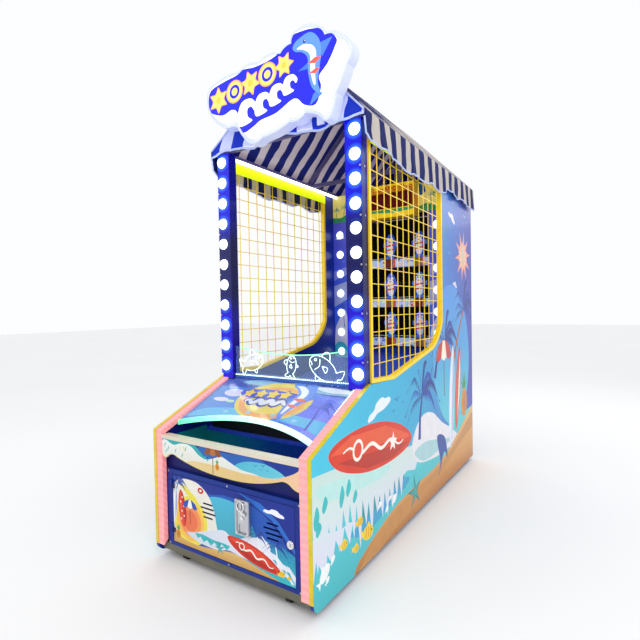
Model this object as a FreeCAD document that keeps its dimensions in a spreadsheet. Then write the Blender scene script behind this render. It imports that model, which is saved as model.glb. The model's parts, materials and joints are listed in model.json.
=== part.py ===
"""Ball toss arcade machine: an open-fronted cabinet with nine knock-down targets.

X runs to the player's right, Y to the back and Z up, in millimetres. The pieces are drawn with
Y = 0 at the cabinet's front edge, and each sub-part's Placement moves them back by half the depth,
so that the origin is at the middle of the footprint, on the floor.
"""
import FreeCAD, Part
import os
import re
import Sketcher
from FreeCAD import Placement, Rotation, Vector

SIZES = {
    # Cabinet
    "cabinet_width": 988, "cabinet_depth": 2382, "panel_thickness": 20, "panel_bottom": 30,
    "panel_top": 2200, "knee_height": 671, "slope_end": 534, "slope_end_height": 899,
    "front_corner": 45, "trim_thickness": 2.5, "sill_low": 820, "sill_low_height": 885,
    "sill_bend_setback": 996, "sill_bend_height": 985, "window_setback": 732,
    "window_rear_height": 1180, "window_corner": 330,
    # Edge lights beside the front trim
    "light_width": 42, "light_depth": 25, "light_bottom": 75, "light_front": 3,
    # Base
    "rail_bottom": 42, "rail_top": 75, "rail_width": 25, "kick_front": 30, "kick_thickness": 6,
    "kick_top": 79, "pan_thickness": 12, "foot_spread": 400, "foot_front": 172, "foot_rear_setback": 182,
    "foot_radius": 22, "foot_height": 9, "stem_radius": 6, "cross_rail_width": 40,
    "middle_rail": 1150,
    # Casters
    "wheel_radius": 30, "wheel_width": 22, "wheel_clearance": 3, "axle_radius": 4,
    "running_clearance": 0.05, "caster_spread": 330, "caster_front": 92, "caster_rear_setback": 92,
    "caster_trail": 20, "fork_gap": 25, "fork_plate": 3, "fork_plate_width": 22, "crown_top": 71.8,
    "crown_thickness": 5, "kingpin_radius": 6, "top_plate": 3, "top_plate_length": 66,
    # Front of the console
    "lip_top": 648, "lip_height": 18, "lip_depth": 44, "fascia_front": 6, "fascia_thickness": 12,
    "bulkhead_front": 45, "bulkhead_thickness": 15,
    # Coin door
    "door_half_width": 386, "door_bottom": 100, "door_top": 445, "door_front": 30,
    "door_thickness": 18, "door_gap": 3, "frame_front": 28, "frame_half_width": 425,
    "frame_bottom": 79, "frame_top": 471, "opening_margin": 6, "grille_height": 310,
    "grille_left": -135, "grille_right": 265, "slot_long": 90, "slot_short": 64,
    "slot_height": 8, "slot_pitch": 22, "slot_shift": 6, "speaker_radius": 48,
    "speaker_depth": 38,
    # Coin mechanism
    "mech_centre": 105, "mech_width": 80, "mech_bottom": 262, "mech_top": 422,
    "mech_proud": 17, "mech_body_width": 70, "mech_body_depth": 62, "mech_body_margin": 6,
    "coin_entry_radius": 18, "coin_slot_width": 4, "coin_slot_height": 28, "coin_height": 392,
    "button_height": 340, "button_radius": 9, "button_length": 24, "button_proud": 7,
    "button_bore": 9.4, "cup_width": 44, "cup_bottom": 270, "cup_top": 312, "cup_depth": 45,
    "flap_thickness": 2, "flap_pin": 2, "flap_clearance": 1, "flap_inset": 5,
    "lock_centre": 363, "lock_height": 280, "lock_radius": 14, "lock_body_radius": 9,
    "lock_proud": 5, "cam_length": 40, "cam_width": 16, "cam_thickness": 3, "cam_standoff": 17,
    # Hinges of the doors
    "knuckle_radius": 4, "knuckle_length": 20, "knuckle_gap": 0.3, "hinge_pin": 2,
    "hinge_leaf": 16, "hinge_offset": 2, "hinge_standoff": 6.5,
    # Deck and ball return
    "deck_front_height": 645, "deck_rise": 0.45, "deck_thickness": 18, "cover_thickness": 3,
    "arch_end": 120, "arch_crown": 214, "arch_light_depth": 12, "deck_rear": 560,
    "shield_front": 515, "shield_thickness": 6, "shield_bottom": 882.5, "shield_top": 1065,
    "shield_dip": 1025, "shield_rail_depth": 10, "shield_rail_height": 13,
    "trough_bottom": 516, "trough_rear": 345, "trough_wall": 4, "trough_top": 618,
    "ramp_front_height": 600, "ramp_rear_height": 973, "ramp_thickness": 9,
    "gate_axis": 352, "gate_axis_height": 712, "gate_rod": 4, "gate_barrel": 8,
    "gate_end_gap": 44, "gate_bottom": 612, "gate_thickness": 4, "motor_length": 34,
    "motor_width": 70, "motor_height": 60, "motor_setback": 22,
    "coin_box_left": 20, "coin_box_width": 180, "coin_box_front": 70, "coin_box_depth": 190,
    "coin_box_height": 160, "coin_box_wall": 2,
    # Columns and bulbs
    "column_inset": 10, "column_width": 92, "column_front": 489, "column_depth": 60,
    "column_bottom": 901, "column_foot": 902, "dome_radius": 32, "dome_cut": 14.5,
    "bulb_inset": 36, "bulb_bottom": 949.5, "bulb_pitch": 120, "target_bulb_bottom": 840,
    "target_bulb_pitch": 160,
    # Side windows
    "mesh_depth": 30, "mesh_border": 20, "wire_width": 4, "wire_pitch": 83,
    "wire_rise": 82, "wire_start": 584, "wire_base": 907,
    # Tube lights
    "tube_radius": 10, "tube_inset": 36, "tube_gap": 11, "tube_setback": 602,
    # Targets
    "pilaster_setback": 592, "pilaster_thickness": 10, "pilaster_width": 124,
    "pilaster_bottom": 870, "shelf_setback": 532, "shelf_depth": 70, "shelf_thickness": 63,
    "shelf_low": 1037, "shelf_middle": 1343, "shelf_high": 1655, "figure_pitch": 240,
    "pivot_setback": 480, "pivot_rise": 14, "pivot_radius": 4, "lug_radius": 9.5,
    "lug_width": 40, "figure_setback": 514, "figure_depth": 26, "figure_foot_width": 66,
    "figure_foot_height": 22, "figure_lift": 5, "figure_height": 200, "figure_width": 92,
    "fin_width": 120, "fin_height": 34, "fin_depth": 10, "curtain_setback": 270,
    "curtain_thickness": 6, "curtain_end_gap": 34, "curtain_bottom": 940,
    "curtain_rod": 9, "curtain_rod_height": 2010,
    # Header
    "header_setback": 682, "header_depth": 90, "header_bottom": 1985, "header_drop": 1955,
    "header_half_width": 270, "header_thickness": 12,
    # Back
    "wall_rear_inset": 8, "wall_thickness": 18, "hatch_half_width": 286, "hatch_bottom": 354,
    "hatch_top": 1496, "hatch_gap": 4,
    # Roof
    "eave_height": 2224, "ridge_height": 2752, "hip_depth": 150, "canopy_overhang": 18,
    "canopy_thickness": 8, "canopy_front": 470, "valance_drop": 180, "beam_width": 25,
    "rafter_rise": 34, "gable_gap": 1,
    # Marquee
    "marquee_front": 400, "marquee_depth": 66, "marquee_face": 5, "bracket_height": 19,
    "bracket_width": 40, "bracket_plate": 130,
    # Control unit and mains inlet
    "unit_left": -400, "unit_width": 260, "unit_front": 1250, "unit_depth": 300,
    "unit_height": 120, "inlet_left": 335, "inlet_width": 62, "inlet_bottom": 130,
    "inlet_height": 50, "inlet_proud": 6,
    # Fasteners
    "screw_radius": 5, "screw_head": 2.5,
}

# Places worked out from the sizes above; those at the back keep their distance from it.
PLACES = {
    "window_rear": "cabinet_depth - window_setback",
    "sill_bend": "cabinet_depth - sill_bend_setback",
    "tube_front": "column_front + column_depth + tube_gap",
    "tube_rear": "cabinet_depth - tube_setback",
    "pilaster_front": "cabinet_depth - pilaster_setback",
    "shelf_front": "cabinet_depth - shelf_setback",
    "pivot_axis": "cabinet_depth - pivot_setback",
    "figure_front": "cabinet_depth - figure_setback",
    "curtain_front": "cabinet_depth - curtain_setback",
    "header_front": "cabinet_depth - header_setback",
    "caster_rear": "cabinet_depth - caster_rear_setback",
    "foot_rear": "cabinet_depth - foot_rear_setback",
    "bulb_spread": "cabinet_width / 2 - column_inset - bulb_inset",
    "pilaster_inner": "cabinet_width / 2 - panel_thickness - pilaster_width",
    "target_bulb_spread": "cabinet_width / 2 - panel_thickness - pilaster_width / 2",
    "gate_half_width": "cabinet_width / 2 - panel_thickness - gate_end_gap",
    "curtain_half_width": "cabinet_width / 2 - panel_thickness - curtain_end_gap",
    "canopy_half_width": "cabinet_width / 2 + canopy_overhang",
}

doc = FreeCAD.newDocument("ball_toss_machine")
sheet = doc.addObject("Spreadsheet::Sheet", "dims")
for line, (alias, number) in enumerate(SIZES.items(), start=1):
    sheet.set(f"A{line}", alias)
    sheet.set(f"B{line}", str(number))
    sheet.setAlias(f"B{line}", alias)
doc.recompute()

# Places that several sub-parts share
HALF = "(cabinet_width / 2)"
INNER = "(cabinet_width / 2 - panel_thickness)"
LIGHT_INNER = "(cabinet_width / 2 - panel_thickness - light_width)"
SLOPE = "((slope_end_height - knee_height) / slope_end)"
SLOPE_SECANT = f"sqrt(1 + {SLOPE} ^ 2)"
PITCH = "((ridge_height - eave_height) / canopy_half_width)"
PITCH_SECANT = f"sqrt(1 + {PITCH} ^ 2)"
PAN_TOP = "(rail_top + pan_thickness)"
WALL_REAR = "(cabinet_depth - wall_rear_inset)"
WALL_FRONT = "(cabinet_depth - wall_rear_inset - wall_thickness)"
COLUMN_OUTER = "(cabinet_width / 2 - column_inset)"
COLUMN_INNER = "(cabinet_width / 2 - column_inset - column_width)"
COLUMN_REAR = "(column_front + column_depth)"
BEAM_TOP = "(panel_top + beam_width)"
AXLE_HEIGHT = "(wheel_clearance + wheel_radius)"
DOME_SEAT = "(dome_radius * sin(dome_cut * 1deg))"
SHELVES = {"low": "shelf_low", "middle": "shelf_middle", "high": "shelf_high"}
FIGURE_PLACES = {"left": "-figure_pitch", "centre": "0", "right": "figure_pitch"}
CASTER_SIDES = {"left": "-caster_spread", "right": "caster_spread"}


# ---------------------------------------------------------------- helpers

def formula(text):
    """An expression with its places worked out and every size pointing at the spreadsheet."""
    spelled = str(text)
    for name, worked_out in PLACES.items():
        spelled = re.sub(rf"\b{name}\b", f"({worked_out})", spelled)
    return re.sub(r"[a-z_]+", lambda word: "dims." * (word[0] in SIZES) + word[0], spelled)


def value(text):
    """The number that an expression gives now, in millimetres."""
    found = sheet.evalExpression(formula(text))
    return float(getattr(found, "Value", found))


def bind(item, settings):
    """Ties each property of an object to its expression."""
    for name, text in settings.items():
        item.setExpression(name, formula(text))
    return item


def place(item, x, y, z):
    """Ties an object's position to the spreadsheet."""
    return bind(item, {"Placement.Base.x": x, "Placement.Base.y": y, "Placement.Base.z": z})


def box(x, y, z):
    """A box between the (low, high) expressions of each axis."""
    item = doc.addObject("Part::Box", "box")
    for name, (low, high) in (("Length", x), ("Width", y), ("Height", z)):
        item.setExpression(name, formula(f"({high}) - ({low})"))
    return place(item, x[0], y[0], z[0])


TURNS = {
    "x": Rotation(Vector(0, 1, 0), 90), "y": Rotation(Vector(1, 0, 0), -90), "z": Rotation(),
}


def rod(axis, x, y, z, radius, length):
    """A cylinder that starts at a point and runs along +X, +Y or +Z."""
    item = doc.addObject("Part::Cylinder", "rod")
    item.Placement = Placement(Vector(), TURNS[axis])
    bind(item, {"Radius": radius, "Height": length})
    return place(item, x, y, z)


def fuse(*pieces):
    item = doc.addObject("Part::MultiFuse", "fuse")
    item.Shapes = list(pieces)
    return item


def cut(base, *tools):
    item = doc.addObject("Part::Cut", "cut")
    item.Base = base
    item.Tool = tools[0] if len(tools) == 1 else fuse(*tools)
    return item


def common(first, second):
    item = doc.addObject("Part::MultiCommon", "common")
    item.Shapes = [first, second]
    return item


def mirrored(piece):
    """The same piece on the other side of the middle plane."""
    item = doc.addObject("Part::Mirroring", "mirrored")
    item.Source = piece
    item.Normal = Vector(1, 0, 0)
    return item


def both(piece):
    return piece, mirrored(piece)


NODES = []


def node(label, *pieces):
    """One sub-part: its solids together, moved back by half the depth."""
    item = doc.addObject("Part::Compound", label)
    item.Label = label
    item.Links = list(pieces)
    place(item, "0", "-cabinet_depth / 2", "0")
    NODES.append(item)


def arc_between(start, end, radius, side):
    """An arc from start to end; side 1 bulges to the left of the way it runs, -1 to the right."""
    chord = end - start
    across = Vector(-chord.y, chord.x, 0).normalize() * side
    rise = radius - (radius ** 2 - (chord.Length / 2) ** 2) ** 0.5
    return Part.Arc(start, (start + end) / 2 + across * rise, end)


def sketched(label, plane, corners, start, thickness):
    """A body padded from a sketch of straight lines, each corner tied to its two sizes."""
    body = doc.addObject("PartDesign::Body", label + "_body")
    outline = body.newObject("Sketcher::SketchObject", label + "_outline")
    role = {"yz": "YZ_Plane", "xz": "XZ_Plane", "xy": "XY_Plane"}[plane]
    base = next(f for f in body.Origin.OriginFeatures if f.Role == role)
    outline.AttachmentSupport = [(base, "")]
    outline.MapMode = "FlatFace"
    backward = plane == "xz"
    offset = f"-({start})" if backward else start
    outline.setExpression("AttachmentOffset.Base.z", formula(offset))
    points = [Vector(value(across), value(up), 0) for across, up in corners]
    for index, first in enumerate(points):
        outline.addGeometry(Part.LineSegment(first, points[(index + 1) % len(points)]))
    for index, corner in enumerate(corners):
        following = (index + 1) % len(corners)
        outline.addConstraint(Sketcher.Constraint("Coincident", index, 2, following, 1))
        for kind, text in zip(("DistanceX", "DistanceY"), corner):
            name = outline.addConstraint(Sketcher.Constraint(kind, -1, 1, index, 1, value(text)))
            outline.setExpression(f"Constraints[{name}]", formula(text))
    pad = body.newObject("PartDesign::Pad", label + "_pad")
    pad.Profile = outline
    pad.Reversed = backward
    pad.setExpression("Length", formula(thickness))
    return body


def curved(label, plane, corners, start, thickness):
    """A board whose outline has arcs, which a sketch's solver can flip to their other side."""
    points = [Vector(value(corner[0]), value(corner[1]), 0) for corner in corners]
    edges = []
    for index, corner in enumerate(corners):
        first, last = points[index], points[(index + 1) % len(points)]
        if len(corner) == 2:
            edges.append(Part.makeLine(first, last))
        else:
            edges.append(arc_between(first, last, value(corner[2]), corner[3]).toShape())
    axis, angle, way = {"yz": (Vector(1, 1, 1), 120, 1), "xz": (Vector(1, 0, 0), 90, -1),
                        "xy": (Vector(0, 0, 1), 0, 1)}[plane]
    solid = Part.Face(Part.Wire(edges)).extrude(Vector(0, 0, way * value(thickness)))
    solid.translate(Vector(0, 0, way * value(start)))
    solid.rotate(Vector(), axis, angle)
    board = doc.addObject("Part::Feature", label)
    board.Shape = solid
    return board


def plate(label, plane, corners, start, thickness):
    """A board from its outline. A corner is (across, up), and (across, up, radius, side) an arc."""
    straight = all(len(corner) == 2 for corner in corners)
    return (sketched if straight else curved)(label, plane, corners, start, thickness)


def sloped(y, rise="0"):
    """The height of the deck's top at a distance from the front."""
    return f"(deck_front_height + deck_rise * ({y}) + {rise})"


def ramp_top(y):
    """The height of the ball ramp's top at a distance from the front."""
    fall = f"((ramp_rear_height - ramp_front_height) / ({WALL_FRONT} - trough_rear))"
    return f"(ramp_front_height + {fall} * (({y}) - trough_rear))"


def under_roof(x, drop):
    """The height of a line below the roof's outer face, measured straight down."""
    return f"(ridge_height - {PITCH} * ({x}) - ({drop}) * {PITCH_SECANT})"


# ---------------------------------------------------------------- base and casters

def base_frame():
    """Steel rails with caster plates and the two fixed rear casters' brackets."""
    rails = [
        box((f"-{INNER}", INNER), ("kick_front", "kick_front + kick_thickness"),
            ("rail_bottom", "kick_top")),
        box((f"-{INNER}", INNER), (f"{WALL_FRONT} - rail_width", WALL_FRONT),
            ("rail_bottom", "rail_top")),
        *both(box((f"{INNER} - rail_width", INNER), ("kick_front + kick_thickness", WALL_FRONT),
                  ("rail_bottom", "rail_top"))),
    ]
    for middle in ("foot_front", "middle_rail", "foot_rear"):
        rails.append(box((f"-{INNER} + rail_width", f"{INNER} - rail_width"),
                         (f"{middle} - cross_rail_width / 2", f"{middle} + cross_rail_width / 2"),
                         ("rail_bottom", "rail_top")))
    for x in CASTER_SIDES.values():
        rails.append(caster_plate(x, "caster_front"))
        half = "top_plate_length / 2"
        riser = box((f"{x} - {half}", f"{x} + {half}"),
                    (f"caster_rear - {half}", f"caster_rear + {half}"), ("crown_top", "rail_top"))
        rails.append(fuse(fork(x, "caster_rear", "caster_rear"), riser))
    node("base_frame", fuse(*rails))


def caster_plate(x, y):
    """A caster's plate under the floor pan, with the bore that its kingpin turns in."""
    half = "top_plate_length / 2"
    sheet_metal = box((f"{x} - {half}", f"{x} + {half}"), (f"{y} - {half}", f"{y} + {half}"),
                      ("rail_top - top_plate", "rail_top"))
    return cut(sheet_metal, rod("z", x, y, "rail_top - 2 * top_plate",
                                "kingpin_radius + running_clearance", "4 * top_plate"))


def fork(x, y, wheel_y):
    """Two cheeks, a crown and the axle that one wheel turns on."""
    reach = "(fork_gap / 2 + fork_plate)"
    front, rear = f"{wheel_y} - fork_plate_width / 2", f"{y} + fork_plate_width / 2"
    crown = box((f"{x} - {reach}", f"{x} + {reach}"), (front, rear),
                ("crown_top - crown_thickness", "crown_top"))
    cheeks = [
        box((f"{x} + ({low})", f"{x} + ({high})"),
            (front, f"{wheel_y} + fork_plate_width / 2"),
            (f"{AXLE_HEIGHT} - fork_plate_width / 2", "crown_top"))
        for low, high in ((f"-{reach}", "-fork_gap / 2"), ("fork_gap / 2", reach))
    ]
    axle = rod("x", f"{x} - {reach} - fork_plate", wheel_y, AXLE_HEIGHT, "axle_radius",
               f"2 * {reach} + 2 * fork_plate")
    return fuse(crown, *cheeks, axle)


def wheel(x, y):
    tread = rod("x", f"{x} - wheel_width / 2", y, AXLE_HEIGHT, "wheel_radius", "wheel_width")
    edges = doc.addObject("Part::Chamfer", "wheel_edges")
    edges.Base = tread
    edges.Edges = [(1, 2.5, 2.5), (3, 2.5, 2.5)]
    bore = rod("x", f"{x} - wheel_width", y, AXLE_HEIGHT, "axle_radius + running_clearance",
               "2 * wheel_width")
    return cut(edges, bore)


def casters():
    """Swivelling casters at the front and fixed ones at the back, clear of the floor."""
    front_wheel = "caster_front - caster_trail"
    for side, x in CASTER_SIDES.items():
        kingpin = rod("z", x, "caster_front", "crown_top - crown_thickness", "kingpin_radius",
                      "rail_top - 0.2 - crown_top + crown_thickness")
        node(f"front_{side}_caster_fork", fuse(fork(x, "caster_front", front_wheel), kingpin))
        node(f"front_{side}_caster_wheel", wheel(x, front_wheel))
        node(f"rear_{side}_caster_wheel", wheel(x, "caster_rear"))


def floor_pan():
    node("floor_pan", box((f"-{INNER}", INNER), ("bulkhead_front", WALL_FRONT),
                          ("rail_top", PAN_TOP)))


def levelling_feet():
    """A pad, stem and lock nut at each corner, under the cross rails."""
    feet = []
    for y in ("foot_front", "foot_rear"):
        pad = rod("z", "foot_spread", y, "0", "foot_radius", "foot_height")
        stem = rod("z", "foot_spread", y, "foot_height", "stem_radius",
                   "rail_bottom - foot_height")
        nut = rod("z", "foot_spread", y, "rail_bottom - stem_radius", "2 * stem_radius",
                  "stem_radius")
        feet.extend(both(fuse(pad, stem, nut)))
    node("levelling_feet", *feet)


# ---------------------------------------------------------------- cabinet

def panel_outline(front, knee, slope_top, corner):
    """The side view of the cabinet from a front edge to the back."""
    return [
        (front, f"panel_bottom + {corner} + {front}"),
        (front, knee),
        ("slope_end", slope_top),
        ("sill_low", "sill_low_height"),
        ("sill_bend", "sill_bend_height", "window_corner", -1),
        ("window_rear", "window_rear_height"),
        ("window_rear", "panel_top"),
        ("cabinet_depth", "panel_top"),
        ("cabinet_depth", "panel_bottom"),
        (f"{front} + {corner}", "panel_bottom", f"{corner}", 1),
    ]


def side_panels():
    knee = f"knee_height + trim_thickness * ({SLOPE} - {SLOPE_SECANT})"
    slope_top = f"slope_end_height - trim_thickness * {SLOPE_SECANT}"
    outline = panel_outline("trim_thickness", knee, slope_top, "front_corner")
    outline[0] = ("trim_thickness", "panel_bottom + front_corner")
    for side, x in (("left", f"-{HALF}"), ("right", INNER)):
        panel = plate(f"side_{side}", "yz", outline, x, "panel_thickness")
        node(f"side_panel_{side}", panel)


def edge_trims():
    """The moulding over the panels' front edge and slope."""
    knee = f"knee_height + trim_thickness * ({SLOPE} - {SLOPE_SECANT})"
    slope_top = f"slope_end_height - trim_thickness * {SLOPE_SECANT}"
    outline = [
        ("0", "panel_bottom + front_corner"),
        ("0", "knee_height"),
        ("slope_end", "slope_end_height"),
        ("slope_end", slope_top),
        ("trim_thickness", knee),
        ("trim_thickness", "panel_bottom + front_corner"),
    ]
    node("edge_trims", *both(plate("trim", "yz", outline, INNER, "panel_thickness")))


def edge_lights():
    """Glowing strips beside the trims, from the kick plate up to the columns."""
    inset = "(light_front + light_depth)"
    outline = [
        ("light_front", "light_bottom"),
        ("light_front", f"knee_height + light_front * ({SLOPE} - {SLOPE_SECANT})"),
        ("column_front", f"knee_height + {SLOPE} * column_front - light_front * {SLOPE_SECANT}"),
        ("column_front", f"knee_height + {SLOPE} * column_front - {inset} * {SLOPE_SECANT}"),
        (inset, f"knee_height + {inset} * ({SLOPE} - {SLOPE_SECANT})"),
        (inset, "light_bottom + light_depth"),
    ]
    node("edge_lights", *both(plate("light", "yz", outline, LIGHT_INNER, "light_width")))


def columns():
    """The two front posts, with a foot that stands inside the side panel."""
    post = box((COLUMN_INNER, COLUMN_OUTER), ("column_front", COLUMN_REAR),
               ("column_bottom", "panel_top"))
    foot = box((COLUMN_INNER, INNER), ("column_front", COLUMN_REAR),
               (sloped(COLUMN_REAR, "-deck_thickness"), "column_foot"))
    node("columns", *both(fuse(post, foot)))


def bulb(x, y, z):
    """A domed lens on a face that looks to the front."""
    dome = doc.addObject("Part::Sphere", "dome")
    dome.Placement = Placement(Vector(), Rotation(Vector(1, 0, 0), 90))
    bind(dome, {"Radius": "dome_radius", "Angle1": "dome_cut"})
    return place(dome, x, f"{y} + {DOME_SEAT}", z)


def bulb_domes():
    domes = []
    for step in range(11):
        height = f"bulb_bottom + {step} * bulb_pitch"
        domes.extend(both(bulb("bulb_spread", "column_front", height)))
    for step in range(7):
        height = f"target_bulb_bottom + {step + 0.5} * target_bulb_pitch"
        domes.extend(both(bulb("target_bulb_spread", "pilaster_front", height)))
    node("bulb_domes", *domes)


def window_outline(inset):
    """The window's edge, drawn in by an inset, behind the column."""
    return [
        (f"{COLUMN_REAR} + {inset}", f"sill_low_height + 14 + {inset}"),
        (f"{COLUMN_REAR} + {inset}", f"panel_top - {inset}"),
        (f"window_rear - {inset}", f"panel_top - {inset}"),
        (f"window_rear - {inset}", f"window_rear_height + {inset} / 2", f"window_corner", 1),
        (f"sill_bend - {inset} / 4", f"sill_bend_height + {inset}"),
        ("sill_low", f"sill_low_height + {inset}"),
    ]


def side_meshes():
    """A welded grid in a border that fills the window."""
    left = f"{HALF} - mesh_depth"
    whole = plate("mesh_border", "yz", window_outline("0"), left, "mesh_depth")
    clear = plate("mesh_clear", "yz", window_outline("mesh_border"), f"{left} - 5",
                  "mesh_depth + 10")
    border = cut(whole, clear)
    middle = f"{HALF} - mesh_depth / 2"
    span = (f"{middle} - wire_width / 2", f"{middle} + wire_width / 2")
    wires = []
    for step in range(13):
        y = f"wire_start + {step} * wire_pitch"
        wires.append(box(span, (f"{y} - wire_width / 2", f"{y} + wire_width / 2"),
                         ("sill_low_height", "panel_top")))
    for step in range(16):
        z = f"wire_base + {step} * wire_rise"
        wires.append(box(span, (COLUMN_REAR, "window_rear"),
                         (f"{z} - wire_width / 2", f"{z} + wire_width / 2")))
    field = plate("mesh_field", "yz", window_outline("mesh_border / 2"),
                  f"{middle} - wire_width", "2 * wire_width")
    right = fuse(border, common(fuse(*wires), field))
    node("side_mesh_right", right)
    node("side_mesh_left", mirrored(right))


# ---------------------------------------------------------------- console

def deck_plan(front_end, front_crown, rear):
    """The deck seen from above, with its arched front edge and notches for the columns."""
    width, rise = f"(2 * {LIGHT_INNER})", f"({front_crown} - {front_end})"
    radius = f"(({width} / 2) ^ 2 + {rise} ^ 2) / (2 * {rise})"
    return [
        (f"-{LIGHT_INNER}", front_end, radius, 1),
        (LIGHT_INNER, front_end),
        (LIGHT_INNER, "column_front"),
        (COLUMN_INNER, "column_front"),
        (COLUMN_INNER, rear),
        (f"-{COLUMN_INNER}", rear),
        (f"-{COLUMN_INNER}", "column_front"),
        (f"-{LIGHT_INNER}", "column_front"),
    ]


def deck_layer(label, low, high, front="arch_end", crown="arch_crown", rear="deck_rear"):
    """The part of the deck's plan between two heights above the board's top."""
    plan = plate(label + "_plan", "xy", deck_plan(front, crown, rear), "deck_front_height - 50",
                 "500")
    slab = plate(label + "_slab", "yz", [
        ("0", sloped("0", low)), ("0", sloped("0", high)),
        ("deck_rear + 50", sloped("deck_rear + 50", high)),
        ("deck_rear + 50", sloped("deck_rear + 50", low)),
    ], f"-{INNER}", f"2 * {INNER}")
    return common(plan, slab)


def deck():
    node("deck_board", deck_layer("deck", "-deck_thickness", "0"))
    node("deck_cover", deck_layer("cover", "0", "cover_thickness", rear="shield_front"))
    front = f"-{LIGHT_INNER}"
    rise = "(arch_crown - arch_end)"
    radius = f"({LIGHT_INNER} ^ 2 + {rise} ^ 2) / (2 * {rise})"
    outline = [
        (front, f"arch_end - arch_light_depth", radius, 1),
        (LIGHT_INNER, f"arch_end - arch_light_depth"),
        (LIGHT_INNER, "arch_end", radius, -1),
        (front, "arch_end"),
    ]
    strip = plate("arch_strip", "xy", outline, "deck_front_height - 50", "500")
    slab = plate("arch_slab", "yz", [
        ("0", sloped("0", "-deck_thickness")), ("0", sloped("0", "cover_thickness")),
        ("deck_rear", sloped("deck_rear", "cover_thickness")),
        ("deck_rear", sloped("deck_rear", "-deck_thickness")),
    ], f"-{INNER}", f"2 * {INNER}")
    seat = sloped("shield_front", "cover_thickness")
    rail = box((f"-{COLUMN_INNER}", COLUMN_INNER),
               ("shield_front - shield_rail_depth", "shield_front"),
               (seat, f"{seat} + shield_rail_height"))
    node("deck_lights", common(strip, slab), rail)


def ball_shield():
    """A clear shield across the deck, with a dipping top."""
    half = COLUMN_INNER
    dip = "(shield_top - shield_dip)"
    radius = f"({half} ^ 2 + {dip} ^ 2) / (2 * {dip})"
    outline = [
        (f"-{half}", "shield_bottom"), (half, "shield_bottom"),
        (half, "shield_top", radius, 1), (f"-{half}", "shield_top"),
    ]
    node("ball_shield", plate("shield", "xz", outline, "shield_front", "shield_thickness"))


def console_front():
    node("trough_lip", box((f"-{LIGHT_INNER}", LIGHT_INNER),
                           ("light_front", "light_front + lip_depth"),
                           ("lip_top - lip_height", "lip_top")))
    top = "lip_top - lip_height"
    outline = [
        (f"-{LIGHT_INNER}", top), (f"-{LIGHT_INNER}", "550", "28", -1),
        (f"-{LIGHT_INNER} + 34", "536", "60", 1), (f"-{LIGHT_INNER} + 110", "550", "1100", -1),
        ("20", "506", "900", -1), (f"{LIGHT_INNER} - 105", "549", "60", 1),
        (f"{LIGHT_INNER} - 47", "543", "80", -1), (LIGHT_INNER, "524"), (LIGHT_INNER, top),
    ]
    node("fascia_band", plate("fascia", "xz", outline, "fascia_front", "fascia_thickness"))
    wide = "(door_half_width + door_gap + opening_margin)"
    wall = box((f"-{INNER}", INNER), ("bulkhead_front", "bulkhead_front + bulkhead_thickness"),
               (PAN_TOP, top))
    hole = box((f"-{wide}", wide), ("bulkhead_front - 5", "bulkhead_front + 50"),
               ("door_bottom - door_gap - opening_margin", "door_top + door_gap + opening_margin"))
    node("front_bulkhead", cut(wall, hole))


def hinge(x, y, z, face_y, fixed_face_y, out):
    """Fixed knuckles with their pin, and a moving knuckle with its leaf, on a door's left edge.

    out is -1 where the door opens to the front and 1 where it opens to the back.
    """
    def leaf(low_x, high_x, to_y, low_z, high_z):
        spans = (y, to_y) if out < 0 else (to_y, y)
        return box((low_x, high_x), spans, (low_z, high_z))

    fixed = []
    for low in ("0", "2 * knuckle_length + knuckle_gap"):
        base = f"{z} + {low}"
        barrel = rod("z", x, y, base, "knuckle_radius", "knuckle_length")
        fixed.append(barrel)
        fixed.append(leaf(f"{x} - hinge_leaf", x, fixed_face_y, base, f"{base} + knuckle_length"))
    pin = rod("z", x, y, z, "hinge_pin", "3 * knuckle_length + knuckle_gap")
    base = f"{z} + knuckle_length + knuckle_gap"
    length = "knuckle_length - knuckle_gap"
    barrel = rod("z", x, y, base, "knuckle_radius", length)
    strap = leaf(x, f"{x} + hinge_leaf", face_y, base, f"{base} + {length}")
    bore = rod("z", x, y, f"{base} - 1", "hinge_pin + running_clearance", f"{length} + 2")
    return fuse(*fixed, pin), cut(fuse(barrel, strap), bore)


def grille_slots(centre):
    """Four staggered sound slots through the coin door."""
    slots = []
    for step, (length, shift) in enumerate((("slot_short", "0"), ("slot_long", "-slot_shift"),
                                            ("slot_long", "slot_shift"), ("slot_short", "0"))):
        z = f"grille_height + {1.5 - step} * slot_pitch"
        low = f"{centre} + {shift} - {length} / 2"
        slots.append(box((low, f"{low} + {length}"), ("door_front - 5", "door_front + 50"),
                         (f"{z} - slot_height / 2", f"{z} + slot_height / 2")))
    return slots


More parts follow.
